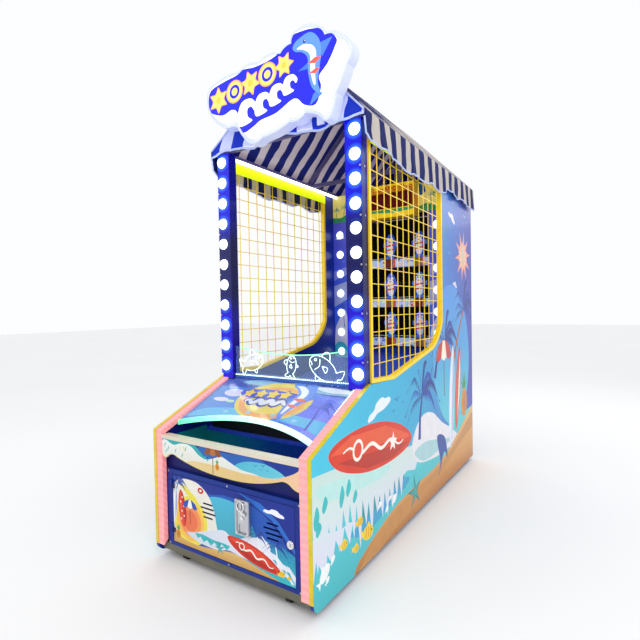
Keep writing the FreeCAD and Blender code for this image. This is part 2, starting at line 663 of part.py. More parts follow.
def coin_door():
    """The framed steel door with sound slots and the cut-outs for the coin unit and lock."""
    wide = "(door_half_width + door_gap)"
    ring = box(("-frame_half_width", "frame_half_width"), ("frame_front", "bulkhead_front"),
               ("frame_bottom", "frame_top"))
    hole = box((f"-{wide}", wide), ("frame_front - 5", "bulkhead_front + 5"),
               ("door_bottom - door_gap", "door_top + door_gap"))
    pieces = [cut(ring, hole)]
    leaf = box(("-door_half_width", "door_half_width"),
               ("door_front", "door_front + door_thickness"), ("door_bottom", "door_top"))
    inner = "mech_body_width / 2"
    mech_hole = box((f"mech_centre - {inner}", f"mech_centre + {inner}"),
                    ("door_front - 5", "door_front + 50"),
                    ("mech_bottom + mech_body_margin", "mech_top - mech_body_margin"))
    lock_hole = rod("y", "lock_centre", "door_front - 5", "lock_height",
                    "lock_body_radius + running_clearance", "60")
    leaf = cut(leaf, mech_hole, lock_hole, *grille_slots("grille_left"),
               *grille_slots("grille_right"))
    moving = [leaf]
    axis_y = "door_front - hinge_standoff"
    for z in ("door_bottom + 30", "door_top - 90"):
        fixed, swinging = hinge("-door_half_width - hinge_offset", axis_y, z, "door_front",
                                "frame_front", -1)
        pieces.append(fixed)
        moving.append(swinging)
    node("coin_door_frame", fuse(*pieces))
    node("coin_door", fuse(*moving))


def coin_unit():
    """The coin plate and its body, the reject button, the return flap and the lock."""
    half, inner = "mech_width / 2", "mech_body_width / 2"
    face = "door_front - mech_proud"
    plate_front = box((f"mech_centre - {half}", f"mech_centre + {half}"), (face, "door_front"),
                      ("mech_bottom", "mech_top"))
    behind = box((f"mech_centre - {inner}", f"mech_centre + {inner}"),
                 ("door_front", "door_front + mech_body_depth"),
                 ("mech_bottom + mech_body_margin", "mech_top - mech_body_margin"))
    entry = rod("y", "mech_centre", f"{face} - 4", "coin_height", "coin_entry_radius", "4")
    slot = box(("mech_centre - coin_slot_width / 2", "mech_centre + coin_slot_width / 2"),
               (f"{face} - 10", f"{face} + 40"),
               ("coin_height - coin_slot_height / 2", "coin_height + coin_slot_height / 2"))
    bore = rod("y", "mech_centre", f"{face} - 10", "button_height", "button_bore",
               "button_length + 16")
    cup = box(("mech_centre - cup_width / 2", "mech_centre + cup_width / 2"),
              (f"{face} - 5", f"{face} + cup_depth"), ("cup_bottom", "cup_top"))
    pin_y, pin_z = f"{face} + flap_inset", "cup_top - flap_inset"
    pin = rod("x", "mech_centre - cup_width / 2 - 1", pin_y, pin_z, "flap_pin", "cup_width + 2")
    node("coin_mech", fuse(cut(fuse(plate_front, behind, entry), slot, bore, cup), pin))
    button = rod("y", "mech_centre", f"{face} - button_proud", "button_height", "button_radius",
                 "button_length")
    node("coin_return_button", button)
    wide = "cup_width / 2 - flap_clearance"
    flap = box((f"mech_centre - ({wide})", f"mech_centre + {wide}"),
               (f"{pin_y} - flap_thickness / 2", f"{pin_y} + flap_thickness / 2"),
               ("cup_bottom + flap_clearance", pin_z))
    barrel = rod("x", f"mech_centre - ({wide})", pin_y, pin_z, "2 * flap_pin", f"2 * ({wide})")
    bore = rod("x", "mech_centre - cup_width", pin_y, pin_z, "flap_pin + running_clearance",
               "2 * cup_width")
    node("coin_return_flap", cut(fuse(flap, barrel), bore))
    rear = "door_front + door_thickness"
    head = rod("y", "lock_centre", "door_front - lock_proud", "lock_height", "lock_radius",
               "lock_proud - 0.3")
    barrel = rod("y", "lock_centre", "door_front - lock_proud", "lock_height",
                 "lock_body_radius", "lock_proud + door_thickness + cam_standoff")
    cam = box(("lock_centre - cam_width / 2", "lock_centre + cam_width / 2"),
              (f"{rear} + cam_standoff - cam_thickness", f"{rear} + cam_standoff"),
              ("lock_height - cam_length", "lock_height + cam_width / 2"))
    node("coin_door_lock", fuse(head, barrel, cam))


def speakers():
    """Two drivers behind the door's sound slots."""
    rear = "door_front + door_thickness"
    drivers = []
    for x in ("grille_left", "grille_right"):
        ring = rod("y", x, rear, "grille_height", "speaker_radius", "8")
        magnet = rod("y", x, f"{rear} + 8", "grille_height", "speaker_radius * 0.6",
                     "speaker_depth - 8")
        drivers.append(fuse(ring, magnet))
    node("speakers", *drivers)


def coin_box():
    """An open cash box under the coin unit."""
    x = ("coin_box_left", "coin_box_left + coin_box_width")
    y = ("coin_box_front", "coin_box_front + coin_box_depth")
    outer = box(x, y, (PAN_TOP, f"{PAN_TOP} + coin_box_height"))
    inner = box((f"{x[0]} + coin_box_wall", f"{x[1]} - coin_box_wall"),
                (f"{y[0]} + coin_box_wall", f"{y[1]} - coin_box_wall"),
                (f"{PAN_TOP} + coin_box_wall", f"{PAN_TOP} + 2 * coin_box_height"))
    node("coin_box", cut(outer, inner))


# ---------------------------------------------------------------- ball return

def ball_return():
    """The trough behind the lip and the ramp that the balls roll down to it."""
    front = "bulkhead_front + bulkhead_thickness"
    outer = box((f"-{INNER}", INNER), (front, "trough_rear"), ("trough_bottom", "trough_top"))
    inner = box((f"-{INNER} + trough_wall", f"{INNER} - trough_wall"),
                (f"{front} + trough_wall", "trough_rear - trough_wall"),
                ("trough_bottom + trough_wall", "trough_top + 50"))
    notch = box((f"-{INNER} + trough_wall", f"{INNER} - trough_wall"),
                ("trough_rear - 2 * trough_wall", "trough_rear + 5"),
                ("ramp_front_height - ramp_thickness", "trough_top + 50"))
    node("ball_trough", cut(outer, inner, notch))
    outline = [
        ("trough_rear", ramp_top("trough_rear")), (WALL_FRONT, ramp_top(WALL_FRONT)),
        (WALL_FRONT, f"{ramp_top(WALL_FRONT)} - ramp_thickness"),
        ("trough_rear", f"{ramp_top('trough_rear')} - ramp_thickness"),
    ]
    node("ball_ramp", plate("ramp", "yz", outline, f"-{INNER}", f"2 * {INNER}"))


def ball_gate():
    """The flap that holds the balls back on the ramp, and the gear motor beside it."""
    barrel = rod("x", "-gate_half_width", "gate_axis", "gate_axis_height", "gate_barrel",
                 "2 * gate_half_width")
    flap = box(("-gate_half_width", "gate_half_width"),
               ("gate_axis - gate_thickness / 2", "gate_axis + gate_thickness / 2"),
               ("gate_bottom", "gate_axis_height"))
    bore = rod("x", f"-{INNER}", "gate_axis", "gate_axis_height", "gate_rod + running_clearance",
               f"2 * {INNER}")
    node("ball_gate", cut(fuse(barrel, flap), bore))
    y = "gate_axis + motor_setback"
    case = box((f"{INNER} - motor_length", INNER), (y, f"{y} + motor_width"),
               ("gate_axis_height - motor_height / 2", "gate_axis_height + motor_height / 2"))
    can = rod("y", f"{INNER} - motor_length / 2", f"{y} + motor_width", "gate_axis_height",
              "motor_length / 2", "motor_width / 2")
    node("gate_motor", fuse(case, can))


# ---------------------------------------------------------------- back and targets

def rear_wall():
    """The back panel with its service hatch, hinges and lock."""
    wide = "(hatch_half_width + hatch_gap)"
    wall = box((f"-{INNER}", INNER), (WALL_FRONT, WALL_REAR), ("panel_bottom", "panel_top"))
    hole = box((f"-{wide}", wide), (f"{WALL_FRONT} - 5", f"{WALL_REAR} + 5"),
               ("hatch_bottom - hatch_gap", "hatch_top + hatch_gap"))
    hatch = box(("-hatch_half_width", "hatch_half_width"), (WALL_FRONT, WALL_REAR),
                ("hatch_bottom", "hatch_top"))
    lock_bore = rod("y", "hatch_half_width - 40", f"{WALL_FRONT} - 5",
                    "(hatch_bottom + hatch_top) / 2", "lock_body_radius + running_clearance",
                    "wall_thickness + 20")
    still, moving = [cut(wall, hole)], [cut(hatch, lock_bore)]
    axis_y = f"{WALL_REAR} + knuckle_radius"
    for z in ("hatch_bottom + 120", "hatch_top - 180"):
        fixed, swinging = hinge("-hatch_half_width - hinge_offset", axis_y, z, WALL_REAR,
                                WALL_REAR, 1)
        still.append(fixed)
        moving.append(swinging)
    node("rear_wall", fuse(*still))
    node("rear_door", fuse(*moving))
    x, z = "(hatch_half_width - 40)", "((hatch_bottom + hatch_top) / 2)"
    head = rod("y", x, f"{WALL_REAR} + 0.3", z, "lock_radius", "lock_proud")
    barrel = rod("y", x, f"{WALL_FRONT} - cam_standoff", z, "lock_body_radius",
                 "cam_standoff + wall_thickness + lock_proud")
    cam = box((f"{x} - cam_width / 2", f"{x} + cam_width / 2"),
              (f"{WALL_FRONT} - cam_standoff", f"{WALL_FRONT} - cam_standoff + cam_thickness"),
              (f"{z} - 1.5 * cam_length", f"{z} + cam_width / 2"))
    node("rear_door_lock", fuse(head, barrel, cam))


def target_shelves():
    boards = [
        box((f"-{INNER}", INNER), ("shelf_front", "shelf_front + shelf_depth"),
            (f"{top} - shelf_thickness", top))
        for top in SHELVES.values()
    ]
    node("target_shelves", *boards)


def figure(x, shelf):
    """A plump upright fish on a foot, with a lug that turns on the shelf's pivot rod."""
    bottom = f"({shelf} + figure_lift)"
    middle_y = "(figure_front + figure_depth / 2)"
    torso = doc.addObject("Part::Ellipsoid", "torso")
    bind(torso, {"Radius1": "(figure_height - figure_foot_height) / 2 + 4",
                 "Radius2": "figure_width / 2", "Radius3": "figure_depth / 2"})
    place(torso, x, middle_y, f"{bottom} + (figure_height + figure_foot_height) / 2 - 4")
    foot = box((f"{x} - figure_foot_width / 2", f"{x} + figure_foot_width / 2"),
               ("figure_front", "figure_front + figure_depth"),
               (bottom, f"{bottom} + figure_foot_height"))
    fin_z = f"({bottom} + figure_height * 0.48)"
    fins = box((f"{x} - fin_width / 2", f"{x} + fin_width / 2"),
               (f"{middle_y} - fin_depth / 2", f"{middle_y} + fin_depth / 2"),
               (fin_z, f"{fin_z} + fin_height"))
    axis_z = f"({shelf} + pivot_rise)"
    low_x = f"{x} - lug_width / 2"
    lug = rod("x", low_x, "pivot_axis", axis_z, "lug_radius", "lug_width")
    arm = box((low_x, f"{low_x} + lug_width"), (middle_y, "pivot_axis"),
              (f"{axis_z} - lug_radius / 2", f"{axis_z} + lug_radius"))
    bore = rod("x", f"{low_x} - 5", "pivot_axis", axis_z, "pivot_radius + running_clearance",
               "lug_width + 10")
    return cut(fuse(torso, foot, fins, lug, arm), bore)


def targets():
    for level, shelf in SHELVES.items():
        for side, x in FIGURE_PLACES.items():
            node(f"target_{level}_{side}", figure(x, shelf))


def cross_rods():
    """Steel rods from side to side: the targets' pivots, the gate's axle and the curtain's rail."""
    rods = [rod("x", f"-{INNER}", "pivot_axis", f"{shelf} + pivot_rise", "pivot_radius",
                f"2 * {INNER}") for shelf in SHELVES.values()]
    rods.append(rod("x", f"-{INNER}", "gate_axis", "gate_axis_height", "gate_rod",
                    f"2 * {INNER}"))
    rods.append(rod("x", f"-{INNER}", "curtain_front + curtain_thickness / 2",
                    "curtain_rod_height", "curtain_rod", f"2 * {INNER}"))
    node("cross_rods", *rods)


def ball_curtain():
    node("ball_curtain", box(("-curtain_half_width", "curtain_half_width"),
                             ("curtain_front", "curtain_front + curtain_thickness"),
                             ("curtain_bottom", "curtain_rod_height - curtain_rod")))


def pilasters():
    node("pilasters", *both(box(("pilaster_inner", INNER),
                                ("pilaster_front", "pilaster_front + pilaster_thickness"),
                                ("pilaster_bottom", "header_bottom"))))


def header_panel():
    """The sign over the targets, with a box that stands out in the middle."""
    back = box((f"-{INNER}", INNER), ("header_front + header_depth",
                                      "header_front + header_depth + header_thickness"),
               ("header_bottom", "panel_top"))
    front = box(("-header_half_width", "header_half_width"),
                ("header_front", "header_front + header_depth"), ("header_drop", "panel_top"))
    node("header_panel", fuse(back, front))


# ---------------------------------------------------------------- roof and marquee

def roof_frame():
    """Eave rails, cross beams, a ridge and three pairs of rafters. The front pair leans back."""
    beams = [
        *both(box((f"{INNER} - beam_width", HALF), ("column_front", WALL_REAR),
                  ("panel_top", BEAM_TOP))),
    ]
    inside = f"({INNER} - beam_width)"
    apex = under_roof("0", "canopy_thickness")
    foot = f"(({apex} - 0.5 - {BEAM_TOP}) / {PITCH})"
    low_foot = f"(({apex} - 0.5 - rafter_rise - {BEAM_TOP}) / {PITCH})"
    frames = (("front", "column_front"), ("middle", "(column_front + cabinet_depth) / 2"),
              ("rear", f"{WALL_REAR} - 2 * beam_width"))
    lean = [
        ("column_front", BEAM_TOP), ("column_front + hip_depth", "ridge_height"),
        ("column_front + hip_depth + beam_width", "ridge_height"),
        ("column_front + beam_width", BEAM_TOP),
    ]
    for label, y in frames:
        beams.append(box((f"-{inside}", inside), (y, f"{y} + beam_width"),
                         ("panel_top", BEAM_TOP)))
        outline = [
            (foot, BEAM_TOP), ("0", f"{apex} - 0.5"), (f"-{foot}", BEAM_TOP),
            (f"-{low_foot}", BEAM_TOP), ("0", f"{apex} - 0.5 - rafter_rise"),
            (low_foot, BEAM_TOP),
        ]
        if label == "front":
            pair = plate("front_rafters", "xz", outline, y, "beam_width + hip_depth")
            slant = plate("front_lean", "yz", lean, "-cabinet_width / 2", "cabinet_width")
            beams.append(common(pair, slant))
        else:
            beams.append(plate(f"{label}_rafters", "xz", outline, y, "beam_width"))
    ridge_top = f"({apex} - rafter_rise)"
    beams.append(box(("-beam_width / 2", "beam_width / 2"),
                     ("column_front + hip_depth", WALL_REAR),
                     (f"{ridge_top} - beam_width", f"{ridge_top} + 2")))
    node("roof_frame", fuse(*beams))


def canopy():
    """The fabric roof with its hanging valances and closed gables. The front gable leans back."""
    inner_half = "(canopy_half_width - canopy_thickness)"
    inner_eave = under_roof(inner_half, "canopy_thickness")
    apex = under_roof("0", "canopy_thickness")
    hem = "eave_height - valance_drop"
    shell = [
        ("-canopy_half_width", hem), ("-canopy_half_width", "eave_height"),
        ("0", "ridge_height"), ("canopy_half_width", "eave_height"),
        ("canopy_half_width", hem), (inner_half, hem), (inner_half, inner_eave),
        ("0", apex), (f"-{inner_half}", inner_eave), (f"-{inner_half}", hem),
    ]
    gable_foot = f"({BEAM_TOP} + gable_gap)"
    gable_half = f"(({apex} - {gable_foot}) / {PITCH})"
    gable = [(gable_half, gable_foot), ("0", apex), (f"-{gable_half}", gable_foot)]
    cloth = plate("roof_cloth", "xz", shell, "canopy_front", "cabinet_depth - canopy_front")
    width = ("-(canopy_half_width + 10)", "2 * (canopy_half_width + 10)")
    in_front = [
        ("canopy_front", "eave_height"), ("canopy_front + hip_depth", "ridge_height"),
        ("canopy_front + hip_depth", "ridge_height + 20"),
        ("canopy_front - 20", "ridge_height + 20"), ("canopy_front - 20", "eave_height"),
    ]
    leaning = [
        ("canopy_front", gable_foot), ("canopy_front", "eave_height"),
        ("canopy_front + hip_depth", "ridge_height"),
        ("canopy_front + hip_depth + canopy_thickness", "ridge_height"),
        ("canopy_front + canopy_thickness", "eave_height"),
        ("canopy_front + canopy_thickness", gable_foot),
    ]
    cloth = cut(cloth, plate("roof_front", "yz", in_front, *width))
    front = common(plate("front_gable", "xz", gable, "canopy_front",
                         "hip_depth + canopy_thickness"),
                   plate("gable_lean", "yz", leaning, *width))
    rear = plate("rear_gable", "xz", gable, "cabinet_depth - canopy_thickness",
                 "canopy_thickness")
    node("canopy", fuse(cloth, front, rear))


def marquee_outline(inset):
    """A contour-cut sign that climbs from a low lobe on the left to a tall one on the right."""
    return [
        (f"-465 + {inset}", "2510", "60", 1),
        (f"-412 + {inset} / 2", f"2564 - {inset}", "400", 1),
        ("-215", f"2581 - {inset}", "150", 1), ("-77", f"2590 - {inset}", "160", 1),
        (f"69 + {inset} / 2", f"2595 - {inset}", "90", 1),
        (f"135 + {inset}", f"2624 - {inset}", "45", 1),
        (f"176 + {inset} / 2", f"2674 - {inset}", "150", 1),
        (f"312 - {inset} / 2", f"2648 - {inset}", "80", 1),
        (f"352 - {inset} / 2", f"2601 - {inset}", "90", 1),
        (f"439 - {inset}", f"2563 - {inset}", "100", 1),
        (f"496 - {inset}", "2489", "90", 1), (f"464 - {inset}", "2423", "400", 1),
        (f"403 - {inset}", "2304", "200", 1), (f"372 - {inset}", f"2204 + {inset} / 2", "35", 1),
        ("332", f"2186 + {inset}", "160", -1), ("221", f"2250 + {inset}", "90", 1),
        ("125", f"2229 + {inset}", "500", 1), ("-61", f"2189 + {inset}", "75", 1),
        (f"-161 + {inset}", f"2187 + {inset}", "300", 1),
        (f"-233 + {inset}", f"2282 + {inset}", "90", -1),
        ("-300", f"2294 + {inset}", "200", 1), (f"-433 + {inset}", f"2385 + {inset}", "170", 1),
    ]


def marquee():
    """A contour-cut light box on two brackets, and its clear face."""
    case = plate("marquee_case", "xz", marquee_outline("0"), "marquee_front", "marquee_depth")
    rear = "marquee_front + marquee_depth"
    low = "panel_top + 3"
    brackets = []
    for x in ("-170", "270"):
        span = (f"{x} - bracket_width / 2", f"{x} + bracket_width / 2")
        brackets.append(box(span, (f"{rear} - 6", "column_front"),
                            (low, f"{low} + bracket_height")))
        brackets.append(box(span, (f"{rear} - 6", rear), (low, f"{low} + bracket_plate")))
    node("marquee_box", fuse(case, *brackets))
    face = plate("marquee_front_face", "xz", marquee_outline("12"),
                 "marquee_front - marquee_face", "marquee_face")
    node("marquee_face", face)


# ---------------------------------------------------------------- small pieces

def light_tubes():
    """Tube lights under the eaves and up the front edge of each window."""
    x = f"({INNER} - tube_inset)"
    top = "panel_top - tube_radius"
    eave = rod("y", x, "tube_front", top, "tube_radius", "tube_rear - tube_front")
    upright = rod("z", f"{HALF} - mesh_depth - tube_radius", f"{COLUMN_REAR} + tube_radius",
                  "column_foot", "tube_radius", f"{top} - column_foot - 3 * tube_radius")
    node("light_tubes", *both(eave), *both(upright))


def screw(x, y, z):
    return rod("y", x, f"{y} - screw_head", z, "screw_radius", "screw_head")


def fasteners():
    """Pan-head screws on the coin door's frame, the columns and the side panels."""
    heads = []
    for z in ("(frame_top + door_top + door_gap) / 2", "(frame_bottom + door_bottom) / 2"):
        heads.append(screw("0", "frame_front", z))
        heads.extend(both(screw("frame_half_width - 12", "frame_front", z)))
    for step in range(5):
        height = f"bulb_bottom + {2 * step + 0.5} * bulb_pitch"
        heads.extend(both(screw(f"{COLUMN_OUTER} - 7", "column_front", height)))
        side = rod("x", COLUMN_OUTER, "column_front + column_depth / 2", height,
                   "screw_radius", "screw_head")
        heads.extend(both(side))
    node("fasteners", *heads)


def control_unit():
    """The control box on the floor pan and the mains inlet in the back wall."""
    unit = box(("unit_left", "unit_left + unit_width"), ("unit_front", "unit_front + unit_depth"),
               (PAN_TOP, f"{PAN_TOP} + unit_height"))
    plug_in = box(("inlet_left", "inlet_left + inlet_width"),
                  (WALL_REAR, f"{WALL_REAR} + inlet_proud"),
                  ("inlet_bottom", "inlet_bottom + inlet_height"))
    socket = box(("inlet_left + 30", "inlet_left + inlet_width - 6"),
                 (f"{WALL_REAR} + 1", f"{WALL_REAR} + 20"),
                 ("inlet_bottom + 14", "inlet_bottom + inlet_height - 14"))
    node("control_unit", unit, cut(plug_in, socket))


def build():
    base_frame()
    casters()
    floor_pan()
    levelling_feet()
    side_panels()
    edge_trims()
    edge_lights()
    columns()
    bulb_domes()
    side_meshes()
    deck()
    ball_shield()
    console_front()
    coin_door()
    coin_unit()
    speakers()
    coin_box()
    ball_return()
    ball_gate()
    rear_wall()
    target_shelves()
    targets()
    cross_rods()
    ball_curtain()
    pilasters()
    header_panel()
    roof_frame()
    canopy()
    marquee()
    light_tubes()
    fasteners()
    control_unit()
    doc.recompute()


def check():
    """Stops the build where an object failed or a sub-part's shape is not a sound solid."""
    for item in doc.Objects:
        if "Invalid" in item.State or "Error" in item.State:
            raise RuntimeError(f"{item.Label} failed: {item.State}")
    for item in NODES:
        shape = item.Shape
        if shape.isNull() or not shape.isValid() or not shape.Solids:
            raise RuntimeError(f"{item.Label} has no sound shape")


def export():
    os.makedirs("parts", exist_ok=True)
    for item in NODES:
        item.Shape.exportStep(f"parts/{item.Label}.step")


build()
check()
export()
print(len(NODES), "sub-parts")
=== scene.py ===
"""Looks for the ball toss arcade machine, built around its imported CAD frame.

Art is laid out in metres on each face: u to the side or the back, v up. Nothing moves a CAD part.
"""
import json
import math
import random
import bmesh
import bpy
from mathutils import Matrix, Vector, bvhtree, geometry

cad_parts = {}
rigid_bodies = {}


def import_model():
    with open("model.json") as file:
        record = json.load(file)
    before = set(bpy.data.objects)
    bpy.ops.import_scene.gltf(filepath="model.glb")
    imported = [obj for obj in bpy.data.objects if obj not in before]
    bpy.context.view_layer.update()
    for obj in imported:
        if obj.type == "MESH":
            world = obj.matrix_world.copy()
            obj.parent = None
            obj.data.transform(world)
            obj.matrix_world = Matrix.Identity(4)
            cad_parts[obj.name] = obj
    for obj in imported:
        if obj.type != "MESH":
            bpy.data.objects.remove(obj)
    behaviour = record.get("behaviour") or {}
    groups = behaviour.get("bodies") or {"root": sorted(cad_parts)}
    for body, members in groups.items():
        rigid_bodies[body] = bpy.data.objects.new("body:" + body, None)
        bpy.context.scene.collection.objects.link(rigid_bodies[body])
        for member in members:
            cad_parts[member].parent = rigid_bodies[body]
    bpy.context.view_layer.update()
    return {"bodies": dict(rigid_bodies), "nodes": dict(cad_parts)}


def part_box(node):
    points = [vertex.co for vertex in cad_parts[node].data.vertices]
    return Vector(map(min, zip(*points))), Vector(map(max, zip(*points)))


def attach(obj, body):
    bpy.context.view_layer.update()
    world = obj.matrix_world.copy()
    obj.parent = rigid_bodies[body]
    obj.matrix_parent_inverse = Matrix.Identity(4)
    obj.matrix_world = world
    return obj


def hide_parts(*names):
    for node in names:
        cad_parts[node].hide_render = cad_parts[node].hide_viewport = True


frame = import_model()
NODES = frame["nodes"]
FRONT = round(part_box("edge_trims")[0].y, 4)          # the cabinet's front edge
HALF = round(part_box("side_panel_right")[1].x, 4)     # half the cabinet's width
BULB_BOTTOM, BULB_PITCH, BULB_SIDE = 0.9495, 0.12, 0.448    # the posts' bulbs, as CAD spaces them

# The camera stands where the view's perspective puts it, turned in degrees about z, then tilted.
CAMERA_PLACE = (1.5319, -2.690, 1.2777)
CAMERA_YAW, CAMERA_PITCH, CAMERA_ROLL = 33.2349, -1.4282, -0.9862
CAMERA_LENS, CAMERA_SENSOR = 25.84, 36


# ---------------------------------------------------------------- camera and stage

def make_camera():
    yaw, pitch, roll = (math.radians(turn) for turn in (CAMERA_YAW, CAMERA_PITCH, CAMERA_ROLL))
    forward = Vector((-math.sin(yaw) * math.cos(pitch), math.cos(yaw) * math.cos(pitch),
                      math.sin(pitch)))
    side = Vector((math.cos(yaw), math.sin(yaw), 0))
    above = side.cross(forward)
    right = side * math.cos(roll) + above * math.sin(roll)
    up = above * math.cos(roll) - side * math.sin(roll)
    data = bpy.data.cameras.new("camera")
    data.lens, data.sensor_width = CAMERA_LENS, CAMERA_SENSOR
    camera = bpy.data.objects.new("camera", data)
    turn = Matrix((right, up, -forward)).transposed().to_4x4()
    camera.matrix_world = Matrix.Translation(CAMERA_PLACE) @ turn
    bpy.context.collection.objects.link(camera)
    bpy.context.scene.camera = camera


def area_light(name, place, target, size, power, colour=(1, 1, 1)):
    data = bpy.data.lights.new(name, "AREA")
    data.shape, data.size, data.energy, data.color = "DISK", size, power, colour
    light = bpy.data.objects.new(name, data)
    light.location = place
    light.rotation_euler = (Vector(target) - Vector(place)).to_track_quat("-Z", "Y").to_euler()
    bpy.context.collection.objects.link(light)


# ---------------------------------------------------------------- materials

def colour_of(code, alpha=1.0):
    """A linear colour from a #rrggbb code."""
    parts = [int(code[i:i + 2], 16) / 255 for i in (1, 3, 5)]
    return [p / 12.92 if p <= 0.04045 else ((p + 0.055) / 1.055) ** 2.4 for p in parts] + [alpha]


def shaded(colour, amount):
    return [min(1.0, max(0.0, part * (1 + amount))) for part in colour[:3]] + [1.0]


class Nodes:
    """Short calls for one material's node tree."""

    def __init__(self, name):
        self.material = bpy.data.materials.new(name)
        self.material.use_nodes = True
        self.tree = self.material.node_tree
        self.shader = self.tree.nodes["Principled BSDF"]
        self.place = self.tree.nodes.new("ShaderNodeTexCoord").outputs["Object"]

    def add(self, kind, settings=None, **inputs):
        made = self.tree.nodes.new(kind)
        for key, value in (settings or {}).items():
            setattr(made, key, value)
        for key, value in inputs.items():
            self.put(made.inputs[int(key[1:])] if key[0] == "i" and key[1:].isdigit()
                     else made.inputs[key.replace("_", " ")], value)
        return made

    def put(self, socket, value):
        if isinstance(value, bpy.types.NodeSocket):
            self.tree.links.new(value, socket)
        else:
            socket.default_value = value

    def feed(self, name, value):
        """Give the shader's named socket a link or a constant."""
        self.put(self.shader.inputs[name], value)

    def stretched(self, scale):
        return self.add("ShaderNodeMapping", i0=self.place, Scale=scale).outputs[0]

    def noise(self, scale, detail=3.0, stretch=(1, 1, 1), rough=0.55):
        return self.add("ShaderNodeTexNoise", Vector=self.stretched(stretch), Scale=scale,
                        Detail=detail, Roughness=rough).outputs[0]

    def math(self, operation, first, second=0.0, third=0.0):
        return self.add("ShaderNodeMath", {"operation": operation}, i0=first, i1=second,
                        i2=third).outputs[0]

    def spread(self, value, low, high, start=0.25, end=0.75):
        return self.add("ShaderNodeMapRange", i0=value, i1=start, i2=end, i3=low, i4=high).outputs[0]

    def ramp(self, factor, stops):
        made = self.add("ShaderNodeValToRGB", i0=factor)
        line = made.color_ramp.elements
        while len(line) < len(stops):
            line.new(0.5)
        for element, (at, colour) in zip(line, stops):
            element.position, element.color = at, colour
        return made.outputs[0]

    def mix(self, factor, first, second, kind="MIX"):
        made = self.add("ShaderNodeMix", {"data_type": "RGBA", "blend_type": kind}, i0=factor)
        self.put(made.inputs[6], first)
        self.put(made.inputs[7], second)
        return made.outputs[2]

    def bump(self, height, strength, distance=0.001, normal=None):
        made = self.add("ShaderNodeBump", Strength=strength, Distance=distance, Height=height)
        if normal is not None:
            self.put(made.inputs["Normal"], normal)
        return made.outputs[0]

    def split(self, vector=None):
        return self.add("ShaderNodeSeparateXYZ", i0=vector or self.place).outputs


def finish(nodes, rough=0.4, metallic=0.0, coat=0.0, sheen=0.0, alpha=1.0, glow=None,
           strength=0.0, gloss=0.3):
    shader = nodes.shader
    shader.inputs["Specular IOR Level"].default_value = gloss
    shader.inputs["Metallic"].default_value = metallic
    shader.inputs["Coat Weight"].default_value = coat
    shader.inputs["Coat Roughness"].default_value = 0.06
    shader.inputs["Sheen Weight"].default_value = sheen
    shader.inputs["Alpha"].default_value = alpha
    if not shader.inputs["Roughness"].is_linked:
        shader.inputs["Roughness"].default_value = rough
    if glow:
        if not shader.inputs["Emission Color"].is_linked:
            shader.inputs["Emission Color"].default_value = colour_of(glow)
        if not shader.inputs["Emission Strength"].is_linked:
            shader.inputs["Emission Strength"].default_value = strength
    return nodes.material


def paint(name, code, rough=0.4, vary=0.07, scale=7.0, grain=240.0, bump=0.04, stretch=(1, 1, 1),
          fade=0.08, **rest):
    """A painted, moulded or metal surface: uneven tone, uneven gloss and a fine surface grain."""
    nodes = Nodes(name)
    base = colour_of(code)
    tone = nodes.ramp(nodes.noise(scale, 4.0), [(0.3, shaded(base, -vary)), (0.7, shaded(base, vary))])
    nodes.feed("Base Color", tone)
    fine = nodes.noise(grain, 2.0, stretch)
    nodes.feed("Roughness", nodes.spread(fine, max(0.02, rough - fade), rough + fade))
    nodes.feed("Normal", nodes.bump(fine, bump))
    return finish(nodes, **rest)


def wash(name, axis, low, high, stops, rough=0.32, coat=0.08, vary=0.05, glow=0.0):
    """Printed film whose colour runs along one axis, in metres of the object's own space."""
    nodes = Nodes(name)
    along = nodes.split()["XYZ".index(axis)]
    wobble = nodes.math("MULTIPLY_ADD", nodes.noise(3.0, 2.0), 0.12, -0.06)
    at = nodes.math("ADD", nodes.spread(along, 0.0, 1.0, low, high), wobble)
    tone = nodes.ramp(at, [(place, colour_of(code)) for place, code in stops])
    speck = nodes.spread(nodes.noise(320.0, 2.0), 1 - vary, 1 + vary)
    tone = nodes.mix(1.0, tone, nodes.add("ShaderNodeCombineXYZ", i0=speck, i1=speck, i2=speck).outputs[0],
                     "MULTIPLY")
    nodes.feed("Base Color", tone)
    nodes.feed("Roughness", nodes.spread(nodes.noise(40.0), rough - 0.06, rough + 0.06))
    nodes.feed("Normal", nodes.bump(nodes.noise(500.0, 2.0), 0.03))
    if glow:
        nodes.feed("Emission Color", tone)
        nodes.shader.inputs["Emission Strength"].default_value = glow
    return finish(nodes, coat=coat, gloss=0.2)


INKS = {}


def ink(code, glow=0.0):
    """Printed film of one colour. A glow makes it shine: on the sign that is the light behind the print; on
    the header, shelves and targets it is painted light.
    """
    key = (code, glow)
    if key not in INKS:
        label = f"print_{code[1:]}" + (f"_lit{round(glow * 10)}" if glow else "")
        INKS[key] = paint(label, code, 0.32, 0.05, 14.0, 500.0, 0.03, fade=0.06, coat=0.08,
                          gloss=0.2, glow=code if glow else None, strength=glow)
    return INKS[key]


# ---------------------------------------------------------------- meshes

def new_object(name, vertices, faces, materials, body="cabinet", picks=None,
               smooth=False):
    mesh = bpy.data.meshes.new(name)
    mesh.from_pydata([tuple(v) for v in vertices], [], faces)
    for material in materials:
        mesh.materials.append(material)
    if picks:
        mesh.polygons.foreach_set("material_index", picks)
    if smooth:
        mesh.polygons.foreach_set("use_smooth", [True] * len(mesh.polygons))
    mesh.validate()
    piece = bpy.data.objects.new(name, mesh)
    bpy.context.collection.objects.link(piece)
    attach(piece, body)
    return piece


